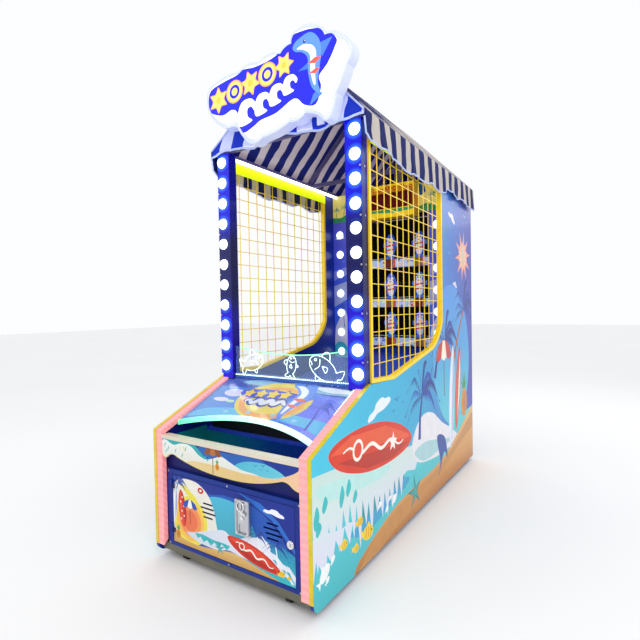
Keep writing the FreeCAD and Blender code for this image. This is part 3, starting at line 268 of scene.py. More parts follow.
class Face:
    """A flat face of a CAD part, with its own u and v directions in metres."""

    def __init__(self, origin, u, v, normal):
        self.origin, self.u, self.v = Vector(origin), Vector(u).normalized(), Vector(v).normalized()
        self.normal = Vector(normal).normalized()

    def flat(self, point):
        offset = Vector(point) - self.origin
        return offset.dot(self.u), offset.dot(self.v)

    def point(self, place, lift=0.0):
        return self.origin + self.u * place[0] + self.v * place[1] + self.normal * lift

    def rings(self, node):
        """The outlines of a CAD node's faces that lie on this face, longest first."""
        mesh, level = NODES[node].data, self.origin.dot(self.normal)
        key = lambda co: tuple(round(c * 20000) for c in co)
        places, edges = {}, {}
        for polygon in mesh.polygons:
            corners = [mesh.vertices[i].co for i in polygon.vertices]
            if all(abs(c.dot(self.normal) - level) < 2e-4 for c in corners):
                names = [key(c) for c in corners]
                places.update(zip(names, corners))
                for a, b in zip(names, names[1:] + names[:1]):
                    if (b, a) in edges:
                        del edges[(b, a)]
                    else:
                        edges[(a, b)] = True
        following, rings = {}, []
        for a, b in edges:
            following.setdefault(a, []).append(b)
        while following:
            start = next(iter(following))
            ring, here = [], start
            while here in following:
                ring.append(self.flat(places[here]))
                ahead = following[here].pop()
                if not following[here]:
                    del following[here]
                here = ahead
                if here == start:
                    break
            rings.append(ring)
        return sorted(rings, key=lambda ring: -abs(area_of(ring)))


def area_of(ring):
    return sum(a[0] * b[1] - b[0] * a[1] for a, b in zip(ring, ring[1:] + ring[:1])) / 2


def inside(x, y, ring):
    """Whether a point lies in a ring, by counting crossings."""
    odd = False
    for (x1, y1), (x2, y2) in zip(ring, ring[1:] + ring[:1]):
        if (y1 > y) != (y2 > y) and x < (x2 - x1) * (y - y1) / (y2 - y1) + x1:
            odd = not odd
    return odd


def decal(name, face, outline, shapes, materials, body="cabinet",
          holes=(), lift=0.0003, thickness=0.0003):
    """Printed art as one thin sheet: each triangle takes the topmost shape that covers it."""
    points, edges = [], []
    for ring in (outline, *holes, *(shape[1] for shape in shapes)):
        start = len(points)
        points += [Vector(p) for p in ring]
        edges += [(start + i, start + (i + 1) % len(ring)) for i in range(len(ring))]
    verts, _, faces = geometry.delaunay_2d_cdt(points, edges, [], 0, 1e-6)[:3]
    layers = [(label, ring, min(p[0] for p in ring), max(p[0] for p in ring),
               min(p[1] for p in ring), max(p[1] for p in ring)) for label, ring in shapes]
    kept, picks, names, order = [], [], [], {}
    for corners in faces:
        x = sum(verts[i][0] for i in corners) / 3
        y = sum(verts[i][1] for i in corners) / 3
        if not inside(x, y, outline) or any(inside(x, y, hole) for hole in holes):
            continue
        label = "base"
        for shape, ring, left, right, low, high in reversed(layers):
            if left < x < right and low < y < high and inside(x, y, ring):
                label = shape
                break
        if label not in names:
            names.append(label)
        kept.append([order.setdefault(i, len(order)) for i in corners])
        picks.append(names.index(label))
    placed = [face.point(verts[i], lift) for i in order]
    if face.u.cross(face.v).dot(face.normal) < 0:
        kept = [list(reversed(corners)) for corners in kept]
    used = [materials.get(label) or ink(label) for label in names]
    piece = new_object(name, placed, kept, used, body, picks)
    solid = piece.modifiers.new("film", "SOLIDIFY")
    solid.thickness, solid.offset = thickness, 1.0
    return piece


# ---------------------------------------------------------------- drawn shapes

def oval(x, y, across, up, turn=0.0, count=36):
    c, s = math.cos(math.radians(turn)), math.sin(math.radians(turn))
    ring = []
    for step in range(count):
        a = 2 * math.pi * step / count
        p, q = across * math.cos(a), up * math.sin(a)
        ring.append((x + p * c - q * s, y + p * s + q * c))
    return ring


def spline(points, steps=6, closed=True):
    """A smooth line through the points."""
    count, line = len(points), []
    for i in range(count if closed else count - 1):
        get = (lambda k: points[k % count]) if closed else (lambda k: points[max(0, min(count - 1, k))])
        p0, p1, p2, p3 = get(i - 1), get(i), get(i + 1), get(i + 2)
        for step in range(steps):
            t = step / steps
            line.append(tuple(0.5 * (2 * b + (c - a) * t + (2 * a - 5 * b + 4 * c - d) * t * t
                                     + (3 * b - a - 3 * c + d) * t ** 3)
                              for a, b, c, d in zip(p0, p1, p2, p3)))
    if not closed:
        line.append(points[-1])
    return line


def moved(ring, x, y, size=1.0, turn=0.0, flip=1):
    c, s = math.cos(math.radians(turn)), math.sin(math.radians(turn))
    return [(x + size * (flip * p * c - q * s), y + size * (flip * p * s + q * c)) for p, q in ring]


def star(x, y, outer, inner, tips, turn=90.0, soft=False):
    ring = []
    for step in range(2 * tips):
        radius = inner if step % 2 else outer
        a = math.radians(turn + 180 * step / tips)
        ring.append((x + radius * math.cos(a), y + radius * math.sin(a)))
    return spline(ring, 4) if soft else ring


def strip(line, widths):
    """A band along a line, with a width at each point."""
    left, right = [], []
    for i, (p, w) in enumerate(zip(line, widths)):
        a, b = line[max(0, i - 1)], line[min(len(line) - 1, i + 1)]
        dx, dy = b[0] - a[0], b[1] - a[1]
        size = math.hypot(dx, dy) or 1.0
        left.append((p[0] - dy / size * w / 2, p[1] + dx / size * w / 2))
        right.append((p[0] + dy / size * w / 2, p[1] - dx / size * w / 2))
    return left + right[::-1]


def tapered(line, start, end):
    last = len(line) - 1
    return strip(line, [start + (end - start) * i / last for i in range(last + 1)])


def palm(base, crown, size, colours, droop=0.55, fronds=8):
    """A leaning trunk and drooping fronds with cut edges."""
    bend = (crown[0] - (crown[0] - base[0]) * 0.75, base[1] + (crown[1] - base[1]) * 0.5)
    trunk = spline([base, bend, crown], 5, closed=False)
    shapes = [(colours[0], tapered(trunk, size * 0.13, size * 0.06))]
    for k in range(fronds):
        a = math.radians(-15 + 210 * k / (fronds - 1))
        reach = size * (1.0 if k % 2 else 0.84)
        tip = (crown[0] + reach * math.cos(a),
               crown[1] + reach * math.sin(a) * 0.75 - reach * droop * abs(math.cos(a)))
        middle = (crown[0] + 0.5 * reach * math.cos(a),
                  crown[1] + 0.5 * reach * math.sin(a) * 1.0 + 0.05 * size)
        spine = spline([crown, middle, tip], 6, closed=False)
        last = len(spine) - 1
        upper = [p for p in strip(spine, [0.0] + [size * 0.10 * math.sin(math.pi * (i / last) ** 0.6)
                                                  for i in range(1, last)] + [0.0])[:last + 1]]
        lower = []
        for i in range(last, 0, -1):
            p, q = spine[i], spine[i - 1]
            drop = size * 0.20 * math.sin(math.pi * ((i - 0.3) / last) ** 0.8)
            lower.append((p[0], p[1] - drop * 0.25))
            lower.append(((p[0] + q[0]) / 2 + (p[0] - crown[0]) * 0.10, (p[1] + q[1]) / 2 - drop))
        shapes.append((colours[1 + k % (len(colours) - 1)], upper + lower))
    return shapes


def cloud(x, y, width, height, lean=0.0):
    bumps = [(-0.5, -0.28), (-0.42, 0.02), (-0.22, 0.10), (-0.10, 0.38), (0.14, 0.46), (0.30, 0.22),
             (0.47, 0.10), (0.5, -0.20), (0.2, -0.34), (-0.1, -0.26), (-0.3, -0.38)]
    return moved(spline([(p * width, q * height) for p, q in bumps], 5), x, y, 1, lean)


def gull(x, y, span):
    upper = [(-0.5, 0.16), (-0.25, 0.20), (0, 0.0), (0.25, 0.22), (0.5, 0.20)]
    lower = [(0.26, 0.13), (0.02, -0.12), (-0.24, 0.12)]
    return moved(upper + lower, x, y, span)


def fish(x, y, size, colours, turn=0.0, flip=1):
    """A plain round fish that faces right: tail, body, fin, bands and eye."""
    tail = [(-0.42, 0.0), (-0.78, 0.30), (-0.70, 0.0), (-0.76, -0.28)]
    body = oval(0, 0, 0.52, 0.34, 0, 28)
    fin = [(-0.22, 0.28), (0.02, 0.50), (0.20, 0.28)]
    parts = [(colours[0], tail), (colours[0], fin), (colours[0], body)]
    if len(colours) > 1:
        for across in (-0.22, 0.02, 0.24):
            parts.append((colours[1], [(across - 0.04, -0.26), (across + 0.05, -0.26),
                                       (across + 0.09, 0.0), (across + 0.05, 0.26),
                                       (across - 0.04, 0.26), (across, 0.0)]))
        parts.append((colours[2], oval(0.36, 0.06, 0.05, 0.05, 0, 10)))
    return [(code, moved(ring, x, y, size, turn, flip)) for code, ring in parts]


def surfboard(x, y, length, width, turn, colours):
    """A pointed board with facets."""
    tips = [(-0.5, 0.02), (-0.42, 0.24), (-0.2, 0.44), (0.05, 0.5), (0.28, 0.40), (0.44, 0.20),
            (0.5, 0.0), (0.42, -0.24), (0.18, -0.44), (-0.08, -0.5), (-0.30, -0.40), (-0.44, -0.22)]
    outline = spline([(p * length, q * width) for p, q in tips], 6)
    upper = [(-0.49, 0.0), (-0.30, 0.30), (0.10, 0.40), (0.44, 0.12), (0.46, 0.02), (0.0, 0.02)]
    lower = [(-0.42, -0.16), (-0.10, -0.42), (0.20, -0.38), (0.45, -0.08), (0.10, -0.10)]
    parts = [(colours[0], outline),
             (colours[1], [(p * length, q * width) for p, q in upper]),
             (colours[2], [(p * length, q * width) for p, q in lower])]
    return [(code, moved(ring, x, y, 1, turn)) for code, ring in parts]


def wavy(x0, x1, y, rise, count, width, turn_up=0.0):
    """A rolling ribbon."""
    line = [(x0 + (x1 - x0) * i / (count * 8), y + rise * math.sin(math.pi * i / 4)
             + turn_up * i / (count * 8)) for i in range(count * 8 + 1)]
    return strip(line, [width * (0.35 + 0.65 * math.sin(math.pi * i / (count * 8)))
                        for i in range(count * 8 + 1)])


def pineapple(x, y, size, body="#d08a2c", dark="#9a5a1c", leaf="#2c9a62"):
    parts = [(leaf, moved([(0, 0.2), (-0.28, 0.62), (-0.10, 0.50), (-0.12, 0.86), (0, 0.58),
                           (0.14, 0.84), (0.12, 0.48), (0.30, 0.60)], x, y, size)),
             (body, moved(oval(0, 0, 0.26, 0.38, 0, 20), x, y, size))]
    for step in range(-2, 3):
        across = 0.11 * step
        parts.append((dark, moved([(across - 0.02, -0.24 + abs(across)),
                                   (across + 0.02, -0.24 + abs(across)),
                                   (across + 0.05, 0.22 - abs(across)),
                                   (across + 0.02, 0.22 - abs(across))],
                                  x, y, size)))
    return parts


def parasol(x, y, size, cloth="#8a5a34", light="#e8cf8e", pole="#7a4a2a"):
    top = [(-0.5, 0.0), (-0.36, 0.22), (-0.12, 0.36), (0.12, 0.36), (0.36, 0.22), (0.5, 0.0),
           (0.33, -0.07), (0.17, 0.0), (0.0, -0.07), (-0.17, 0.0), (-0.33, -0.07)]
    return [(pole, moved([(-0.02, -0.8), (0.02, -0.8), (0.02, 0.1), (-0.02, 0.1)], x, y, size)),
            (cloth, moved(top, x, y, size)),
            (light, moved([(-0.17, 0.0), (-0.07, 0.35), (0.07, 0.35), (0.17, 0.0), (0.0, -0.07)], x, y,
                          size))]


def streaks(seed, left, right, base, drop, count):
    """A splash edge: a line of ragged pointed tongues, from left to right."""
    draw = random.Random(seed)
    line = []
    for i in range(count):
        t = i / (count - 1)
        x = left[0] + (right[0] - left[0]) * t
        y = left[1] + (right[1] - left[1]) * t
        line.append((x, y + base * draw.uniform(0.0, 1.0)))
        line.append((x + (right[0] - left[0]) / count * 0.45, y - drop * draw.uniform(0.35, 1.0)))
    return line


# ---------------------------------------------------------------- CAD finishes

def metal(name, code, rough, stretch=(1, 1, 1), grain=300.0, bump=0.05, vary=0.05):
    return paint(name, code, rough, vary, 5.0, grain, bump, stretch, metallic=1.0)


def post_material():
    """Blue laminate lit from its own bulbs: bright low down and high up, dark between."""
    nodes = Nodes("blue_post")
    x, _, z = nodes.split()
    beside = nodes.math("SUBTRACT", nodes.math("ABSOLUTE", x), BULB_SIDE)
    step = nodes.math("DIVIDE", nodes.math("SUBTRACT", z, BULB_BOTTOM), BULB_PITCH)
    near = nodes.math("SUBTRACT", nodes.math("FRACT", nodes.math("ADD", step, 0.5)), 0.5)
    along = nodes.math("MULTIPLY", near, BULB_PITCH)
    apart = nodes.math("SQRT", nodes.math("ADD", nodes.math("MULTIPLY", beside, beside),
                                          nodes.math("MULTIPLY", along, along)))
    lit = nodes.math("MAXIMUM", nodes.spread(z, 1.0, 0.05, 1.24, 1.36),
                     nodes.spread(z, 0.05, 1.0, 1.68, 1.84))
    halo = nodes.spread(apart, 1.0, 0.0, 0.033, 0.055)
    ahead = nodes.split(nodes.add("ShaderNodeNewGeometry").outputs["Normal"])[1]
    lit = nodes.math("MULTIPLY", lit, nodes.spread(ahead, 1.0, 0.22, -0.7, -0.3))
    power = nodes.math("MULTIPLY", nodes.math("MULTIPLY_ADD", halo, 0.35, 0.72), lit)
    tone = nodes.ramp(nodes.noise(6.0), [(0.3, colour_of("#04063e")), (0.7, colour_of("#070b52"))])
    light = nodes.mix(nodes.spread(z, 0.0, 1.0, 1.2, 1.9), colour_of("#2400f2"), colour_of("#0408ff"))
    nodes.feed("Base Color", tone)
    nodes.feed("Roughness", nodes.spread(nodes.noise(200.0), 0.22, 0.34))
    nodes.feed("Emission Color", nodes.mix(halo, light, colour_of("#3a7cff")))
    nodes.feed("Emission Strength", power)
    return finish(nodes, coat=0.1, gloss=0.2)


def strip_material(name, code, dots, pitch, strength):
    """A diffusing strip with brighter spots where its lamps sit."""
    nodes = Nodes(name)
    _, y, z = nodes.split()
    step = nodes.math("DIVIDE", nodes.math("ADD", y, z), pitch)
    near = nodes.math("ABSOLUTE", nodes.math("SUBTRACT", nodes.math("FRACT", step), 0.5))
    bright = nodes.spread(near, 1.0, 0.0, 0.02, 0.45)
    tone = nodes.mix(bright, colour_of(code), colour_of(dots))
    nodes.feed("Base Color", tone)
    nodes.feed("Emission Color", tone)
    nodes.put(nodes.shader.inputs["Emission Strength"],
              nodes.spread(bright, strength * 0.8, strength * 1.25, 0, 1))
    nodes.feed("Normal", nodes.bump(nodes.noise(300.0), 0.04))
    return finish(nodes, 0.4)


def deck_light_material():
    """The arch glows from green to white; the rail that holds the shield stays dim."""
    nodes = Nodes("deck_light")
    x, y, _ = nodes.split()
    arch = nodes.spread(y, 1.0, 0.0, FRONT + 0.25, FRONT + 0.30)
    glow = nodes.mix(nodes.spread(x, 0.0, 1.0, -0.42, 0.05), colour_of("#5cf0a8"), colour_of("#c4fff8"))
    tone = nodes.mix(arch, colour_of("#2f5fb4"), glow)
    nodes.feed("Base Color", tone)
    nodes.feed("Emission Color", tone)
    soft = nodes.spread(nodes.noise(18.0), 0.85, 1.15)
    nodes.put(nodes.shader.inputs["Emission Strength"],
              nodes.math("MULTIPLY", soft, nodes.spread(arch, 0.12, 0.95, 0.0, 1.0)))
    nodes.feed("Normal", nodes.bump(nodes.noise(300.0), 0.04))
    return finish(nodes, 0.4)


def rubber_material():
    return paint("rubber", "#1c1c1e", 0.7, 0.12, 20.0, 160.0, 0.12)


def cloth_material(name, dark, light, pitch=0.14, share=0.52, lit=0.0, start=0.0):
    """Striped woven canvas. U runs across the stripes and V along them, both in metres. With lit, the cloth
    glows, six times as strongly on faces that look down: painted light.
    """
    nodes = Nodes(name)
    uv = nodes.add("ShaderNodeUVMap", {"uv_map": "weave"}).outputs[0]
    u, v, _ = nodes.split(uv)
    wander = nodes.math("MULTIPLY_ADD", nodes.noise(4.5, 2.0), 0.07, -0.035)
    place = nodes.math("DIVIDE", nodes.math("ADD", nodes.math("ADD", u, wander), start), pitch)
    edge = nodes.math("FRACT", place)
    band = nodes.math("MULTIPLY", nodes.spread(edge, 0.0, 1.0, 0.0, 0.012),
                      nodes.spread(edge, 1.0, 0.0, share, share + 0.012))
    warp = nodes.math("SINE", nodes.math("MULTIPLY", u, 4200.0))
    weft = nodes.math("SINE", nodes.math("MULTIPLY", v, 4200.0))
    weave = nodes.math("ADD", nodes.math("MULTIPLY", warp, weft), nodes.noise(60.0, 3.0))
    dust = nodes.spread(nodes.noise(5.0, 5.0), -0.0, 1.0, 0.35, 0.8)
    tone = nodes.mix(band, nodes.mix(dust, colour_of(light), shaded(colour_of(light), -0.16)),
                     nodes.mix(dust, colour_of(dark), shaded(colour_of(dark), 0.12)))
    nodes.feed("Base Color", tone)
    nodes.feed("Normal", nodes.bump(weave, 0.25, 0.0006))
    # Painted light: a lilac glow on the whole cloth, six times stronger on faces that look down.
    if lit:
        down = nodes.split(nodes.add("ShaderNodeNewGeometry").outputs["Normal"])[2]
        underside_glow = nodes.mix(1.0, tone, colour_of("#d8ccff"), "MULTIPLY")
        nodes.feed("Emission Color", underside_glow)
        nodes.feed("Emission Strength", nodes.spread(down, lit * 6, lit, -0.4, -0.1))
    return finish(nodes, 0.85, sheen=0.04, gloss=0.1)


def cad_materials():
    made = {
        "printed_board": paint("panel_blue", "#142a92", 0.35, 0.08, 8.0, 260.0, 0.05, gloss=0.2, coat=0.1),
        "yellow_trim": paint("yellow_trim", "#d9c21a", 0.3, 0.10, 30.0, 90.0, 0.12, coat=0.4),
        "pink_light": strip_material("pink_light", "#f79a9c", "#fb9fa0", 0.033, 0.30),
        "blue_post": post_material(),
        "bulb_lens": paint("bulb_lens", "#f7fbff", 0.3, 0.02, 10.0, 90.0, 0.1, glow="#eef6ff",
                           strength=2.4),
        # The wire glows a little in its own yellow: painted light, not a lamp.
        "yellow_wire": paint("yellow_wire", "#f2cc0a", 0.35, 0.07, 20.0, 200.0, 0.12, coat=0.3,
                             glow="#f2cc0a", strength=0.12),
        "deck_print": wash("deck_print", "X", -0.45, 0.45,
                           [(0.0, "#3f8fdc"), (0.45, "#2f6fe0"), (1.0, "#3a3ad2")], 0.12, 1.0),
        "clear_cover": paint("clear_cover", "#cfe9f4", 0.05, 0.02, 3.0, 20.0, 0.01, alpha=0.10, fade=0.02),
        "turquoise_light": deck_light_material(),
        "white_light": paint("white_light", "#f8fbff", 0.3, 0.02, 10.0, 90.0, 0.05, glow="#f6faff",
                             strength=3.0),
        "cream_lip": paint("cream_lip", "#dcd0bd", 0.35, 0.05, 12.0, 160.0, 0.08, coat=0.3),
        "fascia_print": wash("fascia_print", "X", -0.45, 0.45,
                             [(0.0, "#dcc28a"), (0.5, "#e3cb9a"), (1.0, "#f0bf98")]),
        "navy_board": paint("navy_board", "#0f1a66", 0.45, 0.10, 8.0, 260.0, 0.08, gloss=0.2),
        "blue_frame": paint("blue_frame", "#0c2f8a", 0.38, 0.08, 10.0, 360.0, 0.20, coat=0.08, gloss=0.2),
        "door_print": paint("door_navy", "#141f5c", 0.35, 0.08, 9.0, 300.0, 0.06, gloss=0.2, coat=0.1),
        "coin_steel": metal("coin_steel", "#c9cacf", 0.30, (1, 1, 30), 40.0, 0.08),
        "chrome_part": metal("chrome_part", "#e6e7ea", 0.12, grain=120.0, bump=0.02),
        "black_plastic": paint("black_plastic", "#17181a", 0.5, 0.1, 15.0, 260.0, 0.15),
        "zinc_steel": metal("zinc_steel", "#7d7c6c", 0.5, (12, 1, 1), 60.0, 0.15, 0.15),
        "bare_ply": wash("bare_ply", "X", -0.5, 0.5, [(0.0, "#8a6a44"), (1.0, "#94724a")], 0.6, 0.0, 0.1),
        "dark_tray": paint("dark_tray", "#0b3a4a", 0.3, 0.15, 9.0, 120.0, 0.08, coat=0.3),
        "target_board": paint("target_board", "#a9c4e6", 0.4, 0.08, 10.0, 240.0, 0.06),
        "steel_rod": metal("steel_rod", "#b9babd", 0.25, (1, 1, 40), 50.0, 0.05),
        "black_fringe": paint("black_fringe", "#0b0b10", 0.8, 0.2, 20.0, 220.0, 0.2, gloss=0.15),
        # The pilaster print glows faintly: painted light.
        "pilaster_print": wash("pilaster_print", "Z", 0.87, 1.98,
                               [(0.0, "#3b6fe0"), (0.6, "#3f55d8"), (1.0, "#5a5ad0")],
                               glow=0.15),
        "header_print": wash("header_print", "Z", 1.95, 2.2,
                             [(0.0, "#f2b21e"), (0.5, "#f08a1c"), (1.0, "#f5d02a")]),
        "figure_plastic": paint("figure_plastic", "#2f6fe0", 0.28, 0.10, 20.0, 200.0, 0.05, coat=0.5),
        # The roof cloth glows faintly, most on its underside: painted light.
        "canopy_cloth": cloth_material("canopy_canvas", "#161f5e", "#c3bbb2", lit=0.06),
        "sign_case": paint("sign_case", "#cfd6f4", 0.35, 0.04, 6.0, 200.0, 0.04, gloss=0.2, glow="#cdd6ff",
                           strength=0.16),
        "sign_face": paint("sign_face", "#fbfcff", 0.25, 0.02, 6.0, 160.0, 0.02, glow="#fbfcff",
                           strength=0.55, coat=0.6),
        "screw_steel": metal("screw_steel", "#b4b5b8", 0.3),
        "grey_box": paint("grey_box", "#73767c", 0.5, 0.08, 12.0, 320.0, 0.25),
        "wheel_rubber": rubber_material(),
        "caster_steel": metal("caster_steel", "#9b9c98", 0.38, grain=180.0, bump=0.1, vary=0.12),
    }
    own = {
        # The carpet glows faintly blue: painted light.
        "ball_ramp": paint("ramp_carpet", "#2f4fae", 0.9, 0.22, 34.0, 700.0, 0.5, gloss=0.1, sheen=0.05,
                           glow="#1238c8", strength=0.18),
        "roof_frame": paint("roof_frame_paint", "#585280", 0.5, 0.08, 8.0, 300.0, 0.08, gloss=0.2),
        # The trough's print glows faintly: painted light.
        "ball_trough": wash("trough_blue", "X", -0.45, 0.45,
                            [(0.0, "#0f7f86"), (0.5, "#0a3f8a"), (1.0, "#14309c")],
                            0.25, 0.3, 0.1, 0.10),
    }
    for label, material in own.items():
        for place in NODES[label].material_slots:
            place.material = material
    for item in NODES.values():
        for place in item.material_slots:
            if place.material and place.material.name.split(".")[0] in made and item.name not in own:
                place.material = made[place.material.name.split(".")[0]]
    return made


# ---------------------------------------------------------------- side art

def side_shapes():
    """The beach on the side panels: sky, sea, foam and sand, from front to back."""
    sea = [(-0.1, 0.60), (0.06, 0.592), (0.123, 0.584), (0.5, 0.53), (1.05, 0.45), (1.6, 0.42), (2.5, 0.46),
           (2.5, -0.1), (-0.1, -0.1)]
    foam = spline([(-0.1, 0.602), (0.06, 0.592), (0.3, 0.566), (0.7, 0.50), (1.10, 0.452)], 5, False)
    foam += [(1.16, 0.36), (1.10, 0.30), (0.98, 0.33)]
    foam += streaks(7, (0.92, 0.30), (-0.06, 0.34), 0.06, 0.20, 17)
    low_foam = spline([(-0.1, 0.36), (0.10, 0.33), (0.22, 0.30), (0.30, 0.30)], 5, False)
    low_foam += streaks(11, (0.33, 0.27), (-0.05, 0.22), 0.04, 0.10, 6)
    hump = spline([(1.06, 0.44), (1.12, 0.54), (1.25, 0.60), (1.42, 0.58), (1.60, 0.48), (1.78, 0.40),
                   (1.95, 0.30), (1.70, 0.26), (1.40, 0.28), (1.15, 0.33)], 6)
    shade = spline([(1.10, 0.40), (1.30, 0.42), (1.60, 0.36), (1.85, 0.31), (1.55, 0.30), (1.25, 0.31)], 6)
    sand = spline([(0.30, -0.1), (0.347, 0.048), (0.46, 0.10), (0.582, 0.135), (0.812, 0.182), (1.1, 0.20),
                   (1.402, 0.205), (1.708, 0.24), (2.0, 0.33), (2.257, 0.42), (2.5, 0.50)], 5, False)
    sand += [(2.5, -0.1)]
    wet = spline([(0.34, 0.0), (0.50, 0.09), (0.80, 0.16), (1.1, 0.175), (1.45, 0.18), (1.8, 0.23),
                  (2.1, 0.32), (2.5, 0.44)], 5, False) + [(2.5, 0.30), (2.0, 0.22), (1.4, 0.10),
                                                          (0.8, 0.06)]
    hill = oval(1.86, 0.92, 0.42, 0.52, 12, 40)
    teal = streaks(5, (0.93, 0.33), (0.42, 0.40), 0.02, 0.07, 9) + [(0.40, 0.22), (0.70, 0.24),
        (0.95, 0.24)]
    blue = spline([(0.30, 0.24), (0.50, 0.25), (0.70, 0.28), (0.95, 0.30), (1.0, 0.26), (0.72, 0.21),
                   (0.45, 0.18)], 5)
    shapes = [("hill", hill), ("sea", sea), ("teal", teal), ("#3a9fca", blue), ("foam", foam),
              ("#b9e3df", spline([(0.05, 0.54), (0.4, 0.50), (0.75, 0.43), (0.6, 0.40), (0.3, 0.43),
                                  (0.1, 0.47)], 6)),
              ("foam", low_foam)]
    for x, y, tall in [(0.035, 0.42, 0.05), (0.10, 0.455, 0.035), (0.24, 0.44, 0.05),
                       (0.30, 0.46, 0.04), (0.36, 0.40, 0.03), (0.05, 0.37, 0.03)]:
        shapes.append(("#39b9bd",
                       spline([(x, y + tall), (x + 0.02, y), (x - 0.01, y - tall), (x - 0.025, y - 0.01)],
                              4)))
    shapes += [("#e6e3ea", hump), ("#a8cfd6", shade), ("sand", sand), ("#c58a4a", wet)]
    shapes += palm((1.18, 0.46), (1.234, 0.735), 0.33, ("#143a94", "#1b4aac", "#123284"))
    shapes += palm((1.47, 0.80), (1.694, 1.045), 0.34, ("#22348e", "#1c419c", "#173284"))
    shapes += palm((1.83, 0.58), (2.150, 1.260), 0.36, ("#a8552c", "#1d44a4", "#17348c"))
    shapes += surfboard(0.59, 0.577, 0.93, 0.235, -8.5, ("#d83a22", "#e65a34", "#b93020"))
    shapes += [("#f6efe6", moved(wavy(-0.34, 0.34, 0.0, 0.018, 3, 0.020), 0.59, 0.577, 1, -8.5)),
               ("#f6efe6", moved(oval(-0.20, 0.0, 0.052, 0.052), 0.59, 0.577, 1, -8.5)),
               ("#e0482a", moved(oval(-0.20, 0.0, 0.036, 0.036), 0.59, 0.577, 1, -8.5)),
               ("#f6efe6", moved(star(0.20, 0.0, 0.055, 0.024, 5), 0.59, 0.577, 1, -8.5))]
    shapes += [("#e8eef2", cloud(0.625, 0.765, 0.27, 0.085, 12)),
               ("#e6dde6", cloud(1.867, 1.93, 0.16, 0.06, -25)),
               ("#d9cfe2", cloud(1.93, 1.44, 0.10, 0.05, -20))]
    for x, y, span in ((0.843, 0.765, 0.075), (0.80, 0.71, 0.05), (0.93, 0.735, 0.04), (1.80, 1.66, 0.06),
                       (1.84, 1.62, 0.04), (2.20, 1.98, 0.07), (2.24, 1.94, 0.04), (2.16, 1.93, 0.04)):
        shapes.append(("#1e4f9c" if y < 1 else "#5cc4c9", gull(x, y, span)))
    shapes += [("#f2a486", star(2.143, 1.667, 0.20, 0.08, 10, 80)),
               ("#f6c4a4", star(2.143, 1.667, 0.12, 0.06, 10, 95)),
               ("#d9c2a8", oval(2.143, 1.667, 0.05, 0.08))]
    shapes += [("#1f7f86", star(1.094, 0.168, 0.115, 0.030, 5, 96)),
               ("#39a3a2", star(1.094, 0.168, 0.075, 0.020, 5, 100))]
    for x, y, size, turn in ((0.482, 0.178, 0.105, -10), (0.399, 0.262, 0.062, -5), (0.25, 0.217, 0.06, -8),
                             (0.359, 0.152, 0.055, -12)):
        shapes += fish(x, y, size, ("#f0d22c", "#e2961e", "#3a2a14"), turn)
    for x, y, size, turn in ((0.088, 0.168, 0.085, 35), (0.155, 0.198, 0.035, 40), (0.109, 0.13, 0.032, 40),
                             (0.80, 0.232, 0.055, 35), (0.618, 0.264, 0.04, 30), (0.70, 0.212, 0.035, 30),
                             (0.74, 0.255, 0.03, 30)):
        shapes += fish(x, y, size, ("#eef2f2",), turn)
    shapes += surfboard(1.83, 0.62, 0.75, 0.12, 84, ("#cfd9ee", "#e6ecf6", "#9fb4da"))
    shapes += surfboard(1.98, 0.66, 0.62, 0.12, 80, ("#c83a30", "#e0564a", "#f0e6dc"))
    shapes += parasol(1.66, 0.92, 0.34, "#c8392e", "#f2ead8", "#6a4a34")
    shapes += pineapple(2.14, 0.52, 0.30)
    shapes += [("#24479c",
                spline([(1.50, 0.40), (1.56, 0.22), (1.53, 0.12), (1.64, 0.26), (1.72, 0.20), (1.66, 0.36)],
                       5))]
    return shapes


def side_art(made):
    inks = {
        "base": wash("side_sky", "Y", -1.2, 1.2,
                     [(0.0, "#46c4e0"), (0.5, "#35a4d2"), (0.75, "#3a74c8"), (1.0, "#4a46ac")]),
        "sea": wash("side_sea", "Z", 0.05, 0.6, [(0.0, "#43b6bf"), (0.5, "#4fc6d0"), (1.0, "#63cfd8")]),
        "teal": wash("side_teal", "Z", 0.2, 0.4, [(0.0, "#2f9aa6"), (1.0, "#1f8f94")]),
        "foam": wash("side_foam", "Z", 0.25, 0.6, [(0.0, "#d9dcec"), (0.5, "#cfe2df"), (1.0, "#c3ddd6")]),
        "sand": wash("side_sand", "Z", 0.0, 0.45, [(0.0, "#a8642c"), (0.3, "#cf9048"), (1.0, "#e2b673")]),
        "hill": wash("side_hill", "Z", 0.5, 1.5, [(0.0, "#58c4d8"), (0.5, "#4aa0dc"), (1.0, "#4f8fe0")]),
    }
    for side, sign in (("right", 1), ("left", -1)):
        face = Face((sign * HALF, FRONT, 0), (0, 1, 0), (0, 0, 1), (sign, 0, 0))
        outline = face.rings(f"side_panel_{side}")[0]
        decal(f"side_art_{side}", face, outline, side_shapes(), inks)


# ---------------------------------------------------------------- canopy

EAVE, HIP = 2.224, 0.150          # the eaves' height, and how far the front leans back
RIDGE = round(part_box("canopy")[1].z, 4)
CANOPY_HALF = round(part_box("canopy")[1].x, 4)
CANOPY_FRONT = round(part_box("canopy")[0].y, 4)
CANOPY_REAR = round(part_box("canopy")[1].y, 4)


HEM_LINE = [(0.0, 2.190), (0.010, 2.115), (0.060, 2.090), (0.150, 2.076), (0.235, 2.080), (0.36, 2.060),
            (0.54, 2.040), (0.60, 2.052), (0.82, 2.046), (0.90, 2.066), (1.06, 2.042), (1.16, 2.056),
            (1.225, 2.094), (1.36, 2.096), (1.44, 2.066), (1.56, 2.088), (1.74, 2.060), (1.95, 2.062)]


def hem_height(back):
    """The side valance's lower edge: it drops at the front post, then hangs in scallops."""
    for (start, low), (end, high) in zip(HEM_LINE, HEM_LINE[1:]):
        if back <= end:
            t = (back - start) / (end - start)
            return low + (high - low) * (t * t * (3 - 2 * t))
    return HEM_LINE[-1][1]


def roof_start(z):
    """Where the cloth's front edge lies at a height: upright to the eave, then leaning back."""
    return CANOPY_FRONT + HIP * max(0.0, (z - EAVE) / (RIDGE - EAVE))


